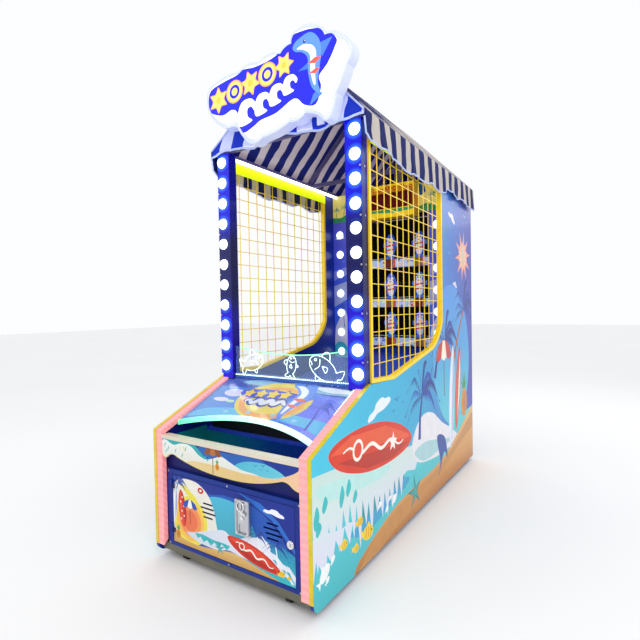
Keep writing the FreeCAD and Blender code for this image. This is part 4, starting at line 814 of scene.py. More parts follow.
def grid_sheet(name, rows, uvs, material, thickness=0.002, offset=-1.0):
    """A smooth sheet from rows of points, with the canvas coordinates of each point."""
    wide = len(rows[0])
    points = [p for row in rows for p in row]
    flat = [p for row in uvs for p in row]
    faces = [(a * wide + b, a * wide + b + 1, (a + 1) * wide + b + 1, (a + 1) * wide + b)
             for a in range(len(rows) - 1) for b in range(wide - 1)]
    piece = new_object(name, points, faces, [material], "cabinet", smooth=True)
    layer = piece.data.uv_layers.new(name="weave")
    for loop in piece.data.loops:
        layer.data[loop.index].uv = flat[loop.vertex_index]
    solid = piece.modifiers.new("cloth", "SOLIDIFY")
    solid.thickness, solid.offset = thickness, offset
    return piece


def piping(name, points, radius, material):
    """A rounded binding along an edge."""
    data = bpy.data.curves.new(name, "CURVE")
    data.dimensions, data.bevel_depth, data.bevel_resolution = "3D", radius, 3
    data.use_fill_caps = True
    line = data.splines.new("POLY")
    line.points.add(len(points) - 1)
    for place, point in zip(line.points, points):
        place.co = (*point, 1)
    data.materials.append(material)
    piece = bpy.data.objects.new(name, data)
    bpy.context.collection.objects.link(piece)
    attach(piece, "cabinet")
    return piece


def canopy(made):
    """The striped roof cloth, its side valances and the front and rear gables."""
    slope = math.hypot(CANOPY_HALF, RIDGE - EAVE)
    steps_y, steps_s, steps_v = 150, 26, 9
    rows, uvs, hems = [], [], {-1: [], 1: []}
    for i in range(steps_y + 1):
        share = i / steps_y
        back = (CANOPY_REAR - CANOPY_FRONT) * share
        y = CANOPY_FRONT + back
        hem = hem_height(back)
        row, line = [], []
        for side in (-1, 1):
            part, part_uv = [], []
            for k in range(steps_v):
                t = k / steps_v
                z = hem + (EAVE - hem) * t
                hang = (1 - t) * min(1.0, back / 0.12)
                fold = (0.010 * math.sin(back * 38.0 + side) + 0.006 * math.sin(back * 61.0)) * hang
                curl = 0.016 * math.exp(-((back - 0.19) / 0.06) ** 2) * (1 - t) ** 2
                part.append((side * (CANOPY_HALF + 0.002 + abs(fold) * 0.5 + curl + 0.004 * hang), y, z))
                part_uv.append((back, z))
            for k in range(steps_s + 1):
                t = k / steps_s
                x = CANOPY_HALF * (1 - t)
                z = EAVE + (RIDGE - EAVE) * t
                swell = math.sin(math.pi * t)
                pleat = 0.007 * math.sin(back * 46.0 + 5 * t) * math.exp(-back * 1.2)
                start = roof_start(z)
                along = start + (CANOPY_REAR - start) * share
                lift = 0.002 + swell * (0.004 * math.sin(back * 9.0 + side) + pleat) + 0.004 * swell
                lean = math.atan2(RIDGE - EAVE, CANOPY_HALF)
                part.append((side * (x + lift * math.sin(lean)), along,
                             z + lift * math.cos(lean) * (0.3 if k == steps_s else 1)))
                part_uv.append((along - CANOPY_FRONT + 0.05 * t, EAVE + slope * t))
            hems[side].append(part[0])
            if side < 0:
                row += part
                line += part_uv
            else:
                row += part[-2::-1]
                line += part_uv[-2::-1]
        rows.append(row)
        uvs.append(line)
    roof = grid_sheet("roof_canvas", rows, uvs, made["canopy_cloth"], offset=1.0)
    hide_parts("canopy")
    # The binding glows faintly: painted light.
    pale = paint("binding", "#b9c6ee", 0.8, 0.06, 30.0, 900.0, 0.3, sheen=0.05, gloss=0.1, glow="#a9baf0",
                 strength=0.08)
    bindings = [piping(f"hem_{'left' if s < 0 else 'right'}", hems[s], 0.0045, pale) for s in (-1, 1)]
    wide = RIDGE - EAVE
    # The front gable is a lit copy of the rear's cloth, with brighter, bluer stripes and a glow: painted
    # light.
    for label, y, out, lit in (("front", CANOPY_FRONT + 0.004, -1, 0.15),
                               ("rear", CANOPY_REAR - 0.004, 1, 0.0)):
        cloth = cloth_material(f"{label}_gable_canvas", "#1a34b0" if lit else "#161f5e",
                               "#cdd4f4" if lit else "#c3bbb2",
                               0.19 if lit else 0.14, 0.5, lit, 0.03)
        rows, uvs, foot = [], [], []
        count, tall = 80, 16
        for j in range(tall + 1):
            row, line = [], []
            for i in range(count + 1):
                x = -CANOPY_HALF + 2 * CANOPY_HALF * i / count
                top = RIDGE - abs(x) / CANOPY_HALF * wide
                arch = 0.012 * math.sin(x * 15.0 + 1.0) + 0.004 * math.sin(x * 41.0)
                low = min(top - 0.004, (2.194 + arch) if out < 0 else 2.214)
                z = low + (top - low) * j / tall
                fold = (0.005 * math.sin(x * 34.0) + 0.003 * math.sin(x * 71.0)) * (1 - j / tall) * min(1,
                    (top - low) * 8)
                place = y if out > 0 else roof_start(z) + 0.004
                row.append((x, place + out * (abs(fold) + 0.001), z))
                line.append((x + CANOPY_HALF, z))
                if j == 0:
                    foot.append(row[-1])
            rows.append(row)
            uvs.append(line)
        gable = grid_sheet(f"{label}_gable", rows, uvs, cloth, offset=-1.0 if out < 0 else 1.0)
        if out < 0:
            bindings.append(piping("gable_hem", foot, 0.006, pale))
            bindings.append(piping("gable_edge",
                                   [(-CANOPY_HALF, y - 0.004, EAVE), (0, y - 0.004 + HIP, RIDGE),
                                                  (CANOPY_HALF, y - 0.004, EAVE)], 0.005, pale))
    return bindings


# ---------------------------------------------------------------- front art

def front_face(depth):
    """A face that looks to the front, a distance behind the cabinet's front edge."""
    return Face((0, FRONT + depth, 0), (1, 0, 0), (0, 0, 1), (0, -1, 0))


def fascia_art(made):
    face = front_face(0.006)
    outline = face.rings("fascia_band")[0]
    shapes = [("#2a62b4", [(-0.10, 0.66), (-0.027, 0.622), (0.046, 0.623), (0.151, 0.637), (0.223, 0.627),
                           (0.28, 0.603), (0.38, 0.56), (0.38, 0.45), (-0.45, 0.45)]),
              ("dome", spline([(0.04, 0.545), (0.073, 0.577), (0.115, 0.597), (0.17, 0.609), (0.249, 0.611),
                               (0.312, 0.597), (0.357, 0.577), (0.39, 0.54), (0.2, 0.50)], 5)),
              ("#2fa6ab", spline([(-0.46, 0.60), (-0.40, 0.638), (-0.30, 0.640), (-0.23, 0.636),
                                  (-0.185, 0.625),
                                  (-0.135, 0.588), (-0.10, 0.55), (-0.30, 0.50)], 5)),
              ("foam", spline([(-0.46, 0.58), (-0.438, 0.616), (-0.405, 0.626), (-0.365, 0.612),
                               (-0.335, 0.609),
                               (-0.295, 0.621), (-0.245, 0.624), (-0.205, 0.612), (-0.165, 0.585),
                               (-0.115, 0.572), (-0.05, 0.590), (-0.013, 0.602), (0.045, 0.583),
                               (0.114, 0.562),
                               (0.22, 0.55), (0.22, 0.48), (-0.46, 0.48)], 5)),
              ("sand", spline([(-0.34, 0.50), (-0.25, 0.538), (-0.184, 0.551), (-0.09, 0.553),
                               (-0.014, 0.554),
                               (0.114, 0.548), (0.182, 0.552), (0.279, 0.555), (0.348, 0.573), (0.41, 0.60),
                               (0.48, 0.64), (0.48, 0.46), (0.0, 0.44)], 5))]
    for x, y, turn in ((-0.41, 0.60, 60), (-0.40, 0.57, 50), (-0.385, 0.585, 70), (-0.33, 0.58, 65),
                       (-0.28, 0.565, 60),
                       (-0.255, 0.60, 70), (-0.12, 0.578, 50), (-0.10, 0.572, 40)):
        shapes.append(("#35b3b5", moved([(-0.016, 0), (0, 0.004), (0.018, 0), (0, -0.003)], x, y, 1, turn)))
    for x, y in ((-0.296, 0.598), (-0.272, 0.604), (-0.262, 0.592)):
        shapes.append(("#ecc052", moved([(-0.010, 0), (0, 0.004), (0.012, 0), (0, -0.004)], x, y, 1, 110)))
    shapes += parasol(-0.068, 0.602, 0.115, "#8a4f2a", "#b06c34", "#6e4426")
    shapes += pineapple(-0.040, 0.549, 0.045)
    shapes += [("#1d4a94", gull(x, y, w)) for x, y,
               w in ((0.195, 0.594, 0.026), (0.237, 0.600, 0.03), (0.262, 0.583, 0.022),
                                                         (0.225, 0.582, 0.018))]
    low = [p for p in outline if p[1] < 0.57]
    low.sort()
    shapes.append(("#d8c668", strip(low, [0.005] * len(low))))
    inks = {"base": ink("#1c3590"),
            "dome": wash("fascia_dome", "X", 0.05, 0.4, [(0.0, "#4db4cd"), (1.0, "#6cc6da")]),
            "foam": wash("fascia_foam", "Z", 0.5, 0.62,
                         [(0.0, "#e9dcb8"), (0.5, "#dfe1d8"), (1.0, "#e8ebe8")]),
            "sand": wash("fascia_sand", "X", -0.35, 0.45,
                         [(0.0, "#e2cd98"), (0.6, "#ddbf80"), (1.0, "#efc3a0")])}
    decal("fascia_art", face, outline, shapes, inks)


def door_art(made):
    face = front_face(0.030)
    rings = face.rings("coin_door")
    outline, holes = rings[0], rings[1:]
    shapes = [("#2357b4",
               [(-0.42, 0.34), (-0.30, 0.375), (-0.136, 0.392), (-0.028, 0.409), (0.07, 0.409),
                (0.157, 0.398),
                           (0.22, 0.372), (0.29, 0.32), (0.34, 0.26), (0.40, 0.16), (0.40, 0.05),
                           (-0.42, 0.05)]),
              ("#2a6cc8", [(0.06, 0.445), (0.20, 0.42), (0.30, 0.36), (0.39, 0.26), (0.39, 0.235),
                           (0.33, 0.30), (0.26, 0.36),
                           (0.16, 0.405)]),
              ("dome", spline([(-0.16, 0.28), (-0.15, 0.355), (-0.121, 0.381), (-0.059, 0.393),
                               (0.016, 0.392),
                               (0.059, 0.380), (0.121, 0.341), (0.158, 0.286), (0.19, 0.20), (-0.1, 0.15)],
                               5)),
              ("water", spline([(0.10, 0.20), (0.193, 0.262), (0.284, 0.256), (0.346, 0.248), (0.42, 0.20),
                                (0.44, 0.05),
                                (0.20, 0.07), (0.10, 0.13)], 5)),
              ("#e6e4d8", spline([(-0.400, 0.30), (-0.388, 0.381), (-0.345, 0.424), (-0.28, 0.438),
                                  (-0.20, 0.430),
                                  (-0.135, 0.39), (-0.100, 0.335), (-0.082, 0.27), (-0.080, 0.19),
                                  (-0.20, 0.14),
                                  (-0.40, 0.16)], 5))]
    for radius, code in ((0.122, "#e9dc4c"), (0.100, "#f0bc58"), (0.078, "#ee8f55"), (0.052, "#e5714c")):
        shapes.append((code, oval(-0.262, 0.232, radius, radius)))
    shapes += [("#e9dc4c",
                [(-0.335, 0.40), (-0.30, 0.405), (-0.22, 0.36), (-0.20, 0.33), (-0.24, 0.335),
                 (-0.30, 0.375)]),
               ("#c9302a", oval(-0.184, 0.399, 0.020, 0.015)),
               ("#f4ece2", oval(-0.184, 0.399, 0.008, 0.006))]
    shapes += palm((-0.375, 0.30), (-0.345, 0.408), 0.075, ("#23459c", "#1f3f94", "#2a56ae"))
    shapes += surfboard(-0.372, 0.30, 0.19, 0.030, 86, ("#d2d8ea", "#e8ecf6", "#8c9cd0"))
    shapes += surfboard(-0.318, 0.285, 0.185, 0.056, 97, ("#cf3a2c", "#e0523e", "#b02c22"))
    for k, (dx, dy) in enumerate(((0, 0.055), (-0.012, 0.03), (0.010, 0.012), (-0.004, -0.016),
                                  (0.012, -0.038), (-0.010, -0.056))):
        shapes.append(("#f6efe8", oval(-0.318 + dx, 0.285 + dy, 0.0045, 0.0045, 0, 12)))
    shapes += parasol(-0.262, 0.300, 0.105, "#2a4fb4", "#f2efe2", "#6a4a34")
    shapes += [("foam", spline([(-0.29, 0.168), (-0.241, 0.180), (-0.158, 0.207), (-0.064, 0.236),
                                (-0.026, 0.241), (0.01, 0.226),
                                (0.054, 0.222), (0.12, 0.25), (0.20, 0.262), (0.25, 0.24), (0.22, 0.15),
                                (0.10, 0.145),
                                (0.0, 0.155), (-0.067, 0.137), (-0.144, 0.136), (-0.215, 0.142)], 5))]
    teal = [(-0.23, 0.182), (-0.21, 0.160), (-0.19, 0.172), (-0.17, 0.150), (-0.145, 0.166), (-0.12, 0.146),
            (-0.095, 0.168),
            (-0.07, 0.148), (-0.045, 0.172), (-0.015, 0.152), (0.01, 0.176), (-0.03, 0.180), (-0.10, 0.178),
            (-0.17, 0.186)]
    shapes.append(("#39b4b8", teal))
    draw = random.Random(23)
    for k in range(16):
        x, y = 0.20 + 0.012 * k + draw.uniform(-0.006, 0.006), 0.235 - 0.0065 * k + draw.uniform(-0.03,
            0.03)
        size = draw.uniform(0.6, 1.2)
        shapes.append(("#e2e8f2",
                       moved([(-0.03, 0.0), (-0.008, 0.010), (0.034, 0.006), (0.012, -0.006),
                              (0.022, -0.016),
                                         (-0.006, -0.010)], x, y, size, -38)))
    shapes += [("sand", spline([(-0.45, 0.24), (-0.395, 0.183), (-0.344, 0.139), (-0.226, 0.123),
                                (-0.067, 0.139), (0.037, 0.151),
                                (0.149, 0.131), (0.248, 0.112), (0.311, 0.099), (0.36, 0.085), (0.30, 0.02),
                                (-0.45, 0.02)], 5))]
    shapes += palm((0.19, 0.17), (0.177, 0.268), 0.07, ("#e8edf4", "#1f3f94", "#28509f"))
    shapes += palm((0.292, 0.13), (0.281, 0.250), 0.085, ("#e8edf4", "#1f3f94", "#2a56ae"))
    shapes += surfboard(0.150, 0.178, 0.325, 0.080, -14, ("#cf3424", "#dc4a32", "#b42c20"))
    shapes += [("#f4ece4", moved(wavy(-0.11, 0.12, 0.0, 0.009, 3, 0.009), 0.150, 0.180, 1, -14)),
               ("#f4ece4", moved(oval(-0.07, 0.0, 0.018, 0.018), 0.150, 0.180, 1, -14)),
               ("#cf3424", moved(oval(-0.07, 0.0, 0.012, 0.012), 0.150, 0.180, 1, -14))]
    shapes += [("#2c8f9a", star(-0.059, 0.148, 0.034, 0.010, 5, 100)),
               ("#4fb3b8", star(-0.059, 0.148, 0.020, 0.006, 5, 104))]
    shapes += [("#e9edf6", cloud(0.272, 0.395, 0.115, 0.034, -6))]
    shapes += pineapple(-0.352, 0.146, 0.062)
    shapes += fish(0.312, 0.137, 0.034, ("#eed02e", "#e09a22", "#3a2a14"), 20)
    shapes += fish(0.352, 0.132, 0.020, ("#eed02e", "#e09a22", "#3a2a14"), 10)
    inks = {"base": ink("#1a2f8e"),
            "dome": wash("door_dome", "Z", 0.2, 0.4, [(0.0, "#3fa2b8"), (1.0, "#4cb6d4")]),
            "water": wash("door_water", "Z", 0.1, 0.26, [(0.0, "#39b8c0"), (1.0, "#2a86b4")]),
            "foam": wash("door_foam", "X", -0.3, 0.2, [(0.0, "#c9d6e6"), (1.0, "#e3e2ec")]),
            "sand": wash("door_sand", "Z", 0.1, 0.2,
                         [(0.0, "#c99a52"), (0.5, "#dcb872"), (1.0, "#e6cd98")])}
    decal("door_art", face, outline, shapes, inks, "coin_door", holes)


def turned(name, centre, profile, material, body, count=40, squeeze=1.0):
    """A turned shape about an axis that runs to the front, from (radius, forward) pairs."""
    verts, faces = [], []
    for radius, forward in profile:
        for k in range(count):
            a = 2 * math.pi * k / count
            verts.append((centre[0] + radius * squeeze * math.cos(a), centre[1] - forward,
                          centre[2] + radius * math.sin(a)))
    for j in range(len(profile) - 1):
        for k in range(count):
            n = (k + 1) % count
            faces.append((j * count + k, j * count + n, (j + 1) * count + n, (j + 1) * count + k))
    faces.append(tuple(range((len(profile) - 1) * count, len(profile) * count)))
    return new_object(name, verts, faces, [material], body, smooth=True)


def rounded_bar(name, low, high, round_by, material, body):
    """A small block with rounded edges."""
    mesh = bmesh.new()
    bmesh.ops.create_cube(mesh, size=1.0)
    for vertex in mesh.verts:
        vertex.co = Vector([(a + b) / 2 + c * (b - a) for a, b, c in zip(low, high, vertex.co)])
    data = bpy.data.meshes.new(name)
    mesh.to_mesh(data)
    mesh.free()
    data.materials.append(material)
    piece = bpy.data.objects.new(name, data)
    bpy.context.collection.objects.link(piece)
    soft = piece.modifiers.new("edges", "BEVEL")
    soft.width, soft.segments = round_by, 3
    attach(piece, body)
    return piece


def coin_details(made):
    """The rim, bezel, lever and screws on the coin unit's face plate."""
    low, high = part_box("coin_mech")
    x, y = (low.x + high.x) / 2, low.y
    # The dark finish is for the keyway: painted shade of the keyhole.
    steel, dark = made["coin_steel"], paint("keyhole_painted_shade", "#2c2d31", 0.4, 0.1, 20.0, 260.0, 0.1,
                                            metallic=0.6)
    bright = made["chrome_part"]
    for tag, a, b in (("left", (low.x, low.z), (low.x + 0.005, high.z)),
                      ("right", (high.x - 0.005, low.z), (high.x, high.z)),
                      ("foot", (low.x + 0.004, low.z), (high.x - 0.004, low.z + 0.005)),
                      ("head", (low.x + 0.004, high.z - 0.005), (high.x - 0.004, high.z))):
        rounded_bar(f"coin_rim_{tag}", (a[0], y - 0.0035, a[1]), (b[0], y + 0.0005, b[1]), 0.0015, steel,
                    "coin_door")
    coin_z = 0.392
    ring = [(0.0245, -0.0005), (0.0245, 0.003), (0.0235, 0.0048), (0.0215, 0.0054), (0.0195, 0.0044),
            (0.0188, 0.0012),
            (0.0188, -0.0005)]
    verts, faces, count = [], [], 40
    for radius, forward in ring:
        for k in range(count):
            a = 2 * math.pi * k / count
            verts.append((x - 0.008 + radius * math.cos(a), y - forward, coin_z + radius * math.sin(a)))
    faces = [(j * count + k, j * count + (k + 1) % count, (j + 1) * count + (k + 1) % count,
              (j + 1) * count + k)
             for j in range(len(ring) - 1) for k in range(count)]
    new_object("coin_bezel", verts, faces, [bright], "coin_door", smooth=True)
    lever = moved([(-0.020, -0.004), (0.0, -0.0065), (0.022, -0.004), (0.025, 0.001), (0.018, 0.006),
                   (-0.006, 0.0065),
                   (-0.020, 0.003)], x + 0.004, 0.366, 1, -28)
    points = [(p, y - 0.0006, q) for p, q in lever] + [(p, y - 0.007, q) for p, q in lever]
    count = len(lever)
    sides = [(k, (k + 1) % count, count + (k + 1) % count, count + k) for k in range(count)]
    piece = new_object("coin_lever", points,
                       sides + [tuple(range(count, 2 * count)), tuple(range(count))[::-1]], [bright],
                       "coin_door")
    soft = piece.modifiers.new("edges", "BEVEL")
    soft.width, soft.segments = 0.001, 2
    for k, (sx, sz) in enumerate(((-1, -1), (1, -1), (-1, 1), (1, 1))):
        turned(f"coin_screw_{k + 1}",
               ((low.x + high.x) / 2 + sx * 0.031, y, (low.z + high.z) / 2 + sz * 0.071),
               [(0.0042, -0.0003), (0.0042, 0.0016), (0.0030, 0.0026), (0.0012, 0.0030)], bright,
               "coin_door", 20)
    lock_low, lock_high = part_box("coin_door_lock")
    centre = ((lock_low.x + lock_high.x) / 2, lock_low.y, 0.280)
    turned("lock_ring", centre,
           [(0.0185, -0.0046), (0.0185, -0.0010), (0.0170, 0.0010), (0.0142, 0.0012), (0.0142, -0.004)],
           bright, "coin_door")
    # The keyway is a dark bar on the lock's face: painted shade where the keyhole is.
    rounded_bar("lock_keyway", (centre[0] - 0.0012, centre[1] - 0.0008, centre[2] - 0.006),
                (centre[0] + 0.0012, centre[1] + 0.001, centre[2] + 0.006), 0.0004, dark, "coin_door_lock")


# ---------------------------------------------------------------- deck and shield

def deck_face():
    return Face((0, FRONT, 0.645), (1, 0, 0), (0, 1, 0.45), (0, -0.45, 1))


def deck_art(made):
    face = deck_face()
    outline = face.rings("deck_board")[0]
    shapes = [("#5b6cf0", [(0.16, 0.10), (0.50, 0.10), (0.50, 0.66), (0.28, 0.66), (0.20, 0.40)]),
              ("#7a86f2", [(0.30, 0.10), (0.50, 0.10), (0.50, 0.52), (0.38, 0.44)]),
              ("#1d3fb4", [(-0.45, 0.47), (0.45, 0.47), (0.45, 0.66), (-0.45, 0.66)]),
              ("#7fb0dc", spline([(-0.30, 0.52), (-0.18, 0.56), (0.0, 0.545), (0.12, 0.57), (0.30, 0.53),
                                  (0.44, 0.55),
                                  (0.44, 0.49), (0.25, 0.485), (0.05, 0.51), (-0.15, 0.50)], 4)),
              ("#dfe6f2", spline([(0.20, 0.53), (0.28, 0.545), (0.40, 0.53), (0.42, 0.505), (0.30, 0.50)],
                                 4)),
              ("#52b8ea", spline([(-0.43, 0.17), (-0.30, 0.20), (-0.1, 0.235), (0.1, 0.24), (0.30, 0.22),
                                  (0.43, 0.18),
                                  (0.43, 0.26), (0.30, 0.285), (0.08, 0.30), (-0.15, 0.29), (-0.36, 0.25)],
                                  4)),
              ("#e6cf3e", oval(0.02, 0.385, 0.235, 0.165)), ("#f2a23c", oval(0.02, 0.372, 0.205, 0.135)),
              ("#f0d84e", oval(0.02, 0.375, 0.17, 0.105)),
              ("#d9d4f4", oval(-0.275, 0.415, 0.075, 0.035)), ("#e8dcf2", oval(-0.32, 0.345, 0.055, 0.018)),
              ("#bfe6c8", oval(-0.245, 0.338, 0.03, 0.012)),
              ("#3242d8", spline([(-0.22, 0.455), (-0.06, 0.475), (0.10, 0.465), (0.22, 0.44), (0.19, 0.39),
                                  (0.06, 0.395),
                                  (-0.08, 0.385), (-0.215, 0.40)], 5))]
    for k, x in enumerate((-0.175, -0.095, -0.015, 0.062)):
        shapes += [("#1f2fae", star(x, 0.428 + 0.004 * k, 0.046, 0.030, 5, 90, True)),
                   ("#f6cf2a", star(x, 0.428 + 0.004 * k, 0.039, 0.024, 5, 90, True))]
    shapes.append(("#27349c", wavy(-0.16, 0.14, 0.355, 0.016, 4, 0.060, 0.02)))
    shapes.append(("#e6e9f6", wavy(-0.15, 0.13, 0.357, 0.014, 4, 0.036, 0.02)))
    for code, ring in leaping_fish():
        shapes.append((code, moved(ring, 0.155, 0.405, 0.36, -18)))
    shapes += palm((0.335, 0.20), (0.315, 0.375), 0.115, ("#3c3cc4", "#3a48c8", "#4a5ad8"))
    shapes += [("#8fd0f0", oval(x, y, 0.016, 0.011)) for x,
               y in ((-0.20, 0.25), (-0.06, 0.27), (0.10, 0.272), (0.24, 0.255))]
    inks = {"base": made["deck_print"]}
    piece = decal("deck_art", face, outline, shapes, inks)
    for place in piece.material_slots:
        place.material.node_tree.nodes["Principled BSDF"].inputs["Coat Weight"].default_value = 1.0


def leaping_fish():
    """A plain fish that leaps to the upper left, about one unit tall, as drawn art."""
    body = spline([(-0.30, 0.40), (-0.38, 0.31), (-0.33, 0.24), (-0.20, 0.20), (-0.10, 0.10),
                   (-0.08, -0.10), (0.0, -0.34),
                   (0.16, -0.46), (0.10, -0.28), (0.12, -0.08), (0.14, 0.14), (0.08, 0.34), (-0.08, 0.46)],
                   6)
    belly = spline([(-0.30, 0.27), (-0.20, 0.24), (-0.06, 0.14), (-0.04, -0.08), (0.02, -0.28),
                    (0.06, -0.30), (0.04, -0.06),
                    (0.05, 0.14), (-0.02, 0.26), (-0.18, 0.31)], 5)
    return [("#4a78e8", [(0.08, 0.26), (0.32, 0.30), (0.16, 0.06)]),
            ("#4a78e8", [(0.10, -0.40), (0.20, -0.46), (0.10, -0.52),
                                                                              (-0.03, -0.60), (0.03,
                                                                                  -0.44)]),
            ("#3f6ee6", [(-0.05, 0.05), (-0.26, -0.06), (-0.06, -0.06)]), ("#5b8cf0", body),
            ("#f2f6ff", belly),
            ("#10206a", oval(-0.17, 0.355, 0.022, 0.028, 0, 14)),
            ("#ffffff", oval(-0.163, 0.364, 0.008, 0.009, 0, 8)),
            ("#ee5a4a", moved([(-0.12, 0), (0.02, 0.05), (0.13, 0.02), (0.02, -0.04)], 0.02, 0.03, 1, 8)),
            ("#ee5a4a", moved([(-0.10, 0), (0.02, 0.04), (0.11, 0.02), (0.02, -0.035)], 0.03, -0.12, 1, 8))]


def bead_row(name, points, radius, material):
    """A row of small lamp domes as one mesh."""
    mesh = bmesh.new()
    for point in points:
        bmesh.ops.create_icosphere(mesh, subdivisions=2, radius=radius, matrix=Matrix.Translation(point))
    data = bpy.data.meshes.new(name)
    mesh.to_mesh(data)
    mesh.free()
    data.materials.append(material)
    data.polygons.foreach_set("use_smooth", [True] * len(data.polygons))
    piece = bpy.data.objects.new(name, data)
    bpy.context.collection.objects.link(piece)
    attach(piece, "cabinet")
    return piece


def line_fish():
    """The strokes of a round fish, one unit long, facing right."""
    arc = [(0.5 * math.cos(a), 0.30 * math.sin(a)) for a in [math.radians(v) for v in range(-150, 151, 15)]]
    return [arc, [(-0.43, 0.15), (-0.62, 0.34), (-0.66, 0.10), (-0.56, 0.0), (-0.66, -0.12), (-0.62, -0.32),
                  (-0.43, -0.15)],
            [(-0.10, 0.29), (0.02, 0.48), (0.16, 0.45), (0.22, 0.27)],
            [(-0.08, -0.29), (0.02, -0.44), (0.12, -0.28)],
            [(0.22, 0.18), (0.14, 0.0), (0.22, -0.18)],
            [(0.05, 0.04), (-0.12, 0.10), (-0.14, -0.06), (0.05, 0.04)],
            [(0.34 + 0.035 * math.cos(a),
              0.08 + 0.035 * math.sin(a)) for a in [math.radians(v) for v in range(0, 361, 45)]],
            [(0.49, -0.04), (0.40, -0.07), (0.36, -0.12)]]


def shield_art(made):
    glow = paint("engraving", "#eefff6", 0.4, 0.02, 20.0, 90.0, 0.05, glow="#d9ffec", strength=2.2)
    edge = paint("shield_edge", "#8fe8b8", 0.3, 0.05, 20.0, 90.0, 0.05, glow="#8ff0bc", strength=0.8)
    face = front_face(0.515)
    ring = face.rings("ball_shield")[0]
    top = sorted(p for p in ring if p[1] > 1.02 and abs(p[0]) < 0.391)
    piping("shield_edge_glow", [face.point(p, -0.003) for p in top], 0.0032, edge)
    for k, (x, y, size, turn,
            flip) in enumerate(((-0.255, 0.972, 0.150, 20, 1), (0.02, 0.970, 0.105, 80, 1),
                                                  (0.225, 0.962, 0.185, -32, -1))):
        for n, line in enumerate(line_fish()):
            smooth = spline(line, 4, closed=False)
            piping(f"engraved_fish_{k + 1}_{n + 1}",
                   [face.point(p, 0.0008) for p in moved(smooth, x, y, size, turn, flip)],
                   0.0013, glow)
    lamps = [(x, FRONT + 0.508,
              0.645 + 0.45 * 0.508 + 0.0225) for x in [-0.385 + 0.0132 * i for i in range(59)]]
    lamps += [(0.424, FRONT + y, 0.645 + 0.45 * y + 0.006) for y in [0.30 + 0.0132 * i for i in range(15)]]
    bead_row("shield_lamps", lamps, 0.0034, glow)


# ---------------------------------------------------------------- sign

def inset(ring, distance):
    """A ring drawn in towards its middle by a distance."""
    turn = 1 if area_of(ring) > 0 else -1
    moved_in = []
    for before, here, after in zip(ring[-1:] + ring[:-1], ring, ring[1:] + ring[:1]):
        run = Vector((after[0] - before[0], after[1] - before[1]))
        run.normalize()
        moved_in.append((here[0] - run.y * distance * turn, here[1] + run.x * distance * turn))
    return moved_in


def sign_art(made):
    face = front_face(0.395)
    outline = face.rings("marquee_face")[0]
    contour = spline([(-0.446, 2.468), (-0.428, 2.53), (-0.331, 2.552), (-0.224, 2.562), (-0.177, 2.578),
                      (-0.096, 2.568),
                      (0.018, 2.576), (0.094, 2.604), (0.151, 2.648), (0.229, 2.650), (0.285, 2.640),
                      (0.345, 2.618),
                      (0.411, 2.553), (0.400, 2.511), (0.359, 2.449), (0.310, 2.403), (0.321, 2.351),
                      (0.290, 2.275),
                      (0.221, 2.288), (0.160, 2.335), (0.044, 2.292), (-0.059, 2.280), (-0.113, 2.258),
                      (-0.178, 2.240),
                      (-0.222, 2.268), (-0.226, 2.355), (-0.268, 2.384), (-0.337, 2.370), (-0.427, 2.406)],
                      4)
    shapes = [("#2024d6", contour)]
    row = ((-0.368, 2.462, 0.068), (-0.245, 2.478, 0.062), (-0.130, 2.492, 0.064), (-0.012, 2.505, 0.062),
           (0.098, 2.520, 0.058))
    for k, (x, y, size) in enumerate(row):
        if k % 2 == 0:
            shapes += [("#f2a63c", star(x, y, size * 1.08, size * 0.66, 6, 90 + 8 * k, True)),
                       ("#ffd86e", star(x, y, size * 0.95, size * 0.56, 6, 90 + 8 * k, True)),
                       ("#f7bc4a", oval(x, y, size * 0.30, size * 0.30))]
        else:
            shapes += [("#f2a63c", oval(x, y, size, size)),
                       ("#ffd86e", oval(x, y, size * 0.88, size * 0.88)),
                       ("#2024d6", oval(x, y, size * 0.60, size * 0.60)),
                       ("#ffd86e", oval(x, y, size * 0.34, size * 0.34))]
    for k, (x, y, size) in enumerate(((-0.155, 2.345, 0.072), (-0.045, 2.362, 0.060), (0.050, 2.385, 0.056),
                                      (0.135, 2.412, 0.050))):
        crest = spline([(-0.9, -0.8), (-0.95, 0.1), (-0.4, 0.9), (0.5, 0.85), (0.95, 0.2), (0.7, -0.15),
                        (0.45, 0.25),
                        (0.05, 0.2), (0.0, -0.35), (0.35, -0.8)], 5)
        shapes += [("#f6f8ff", moved(crest, x, y, size, 8))]
    for code, ring in leaping_fish():
        shapes.append((code, moved(ring, 0.275, 2.475, 0.335, -4)))
    lit = {code: ink(code, 0.5) for code in {shape[0] for shape in shapes}}
    lit["base"] = made["sign_face"]
    # The rim is a 7 mm band of pale blue round the sign face: painted shade at its edge.
    shapes.insert(0, ("rim", inset(outline, 0.0)))
    shapes.insert(1, ("base", inset(outline, 0.007)))
    lit["rim"] = ink("#c9d2f6", 0.15)
    decal("sign_art", face, outline, shapes, lit)


# ---------------------------------------------------------------- inside

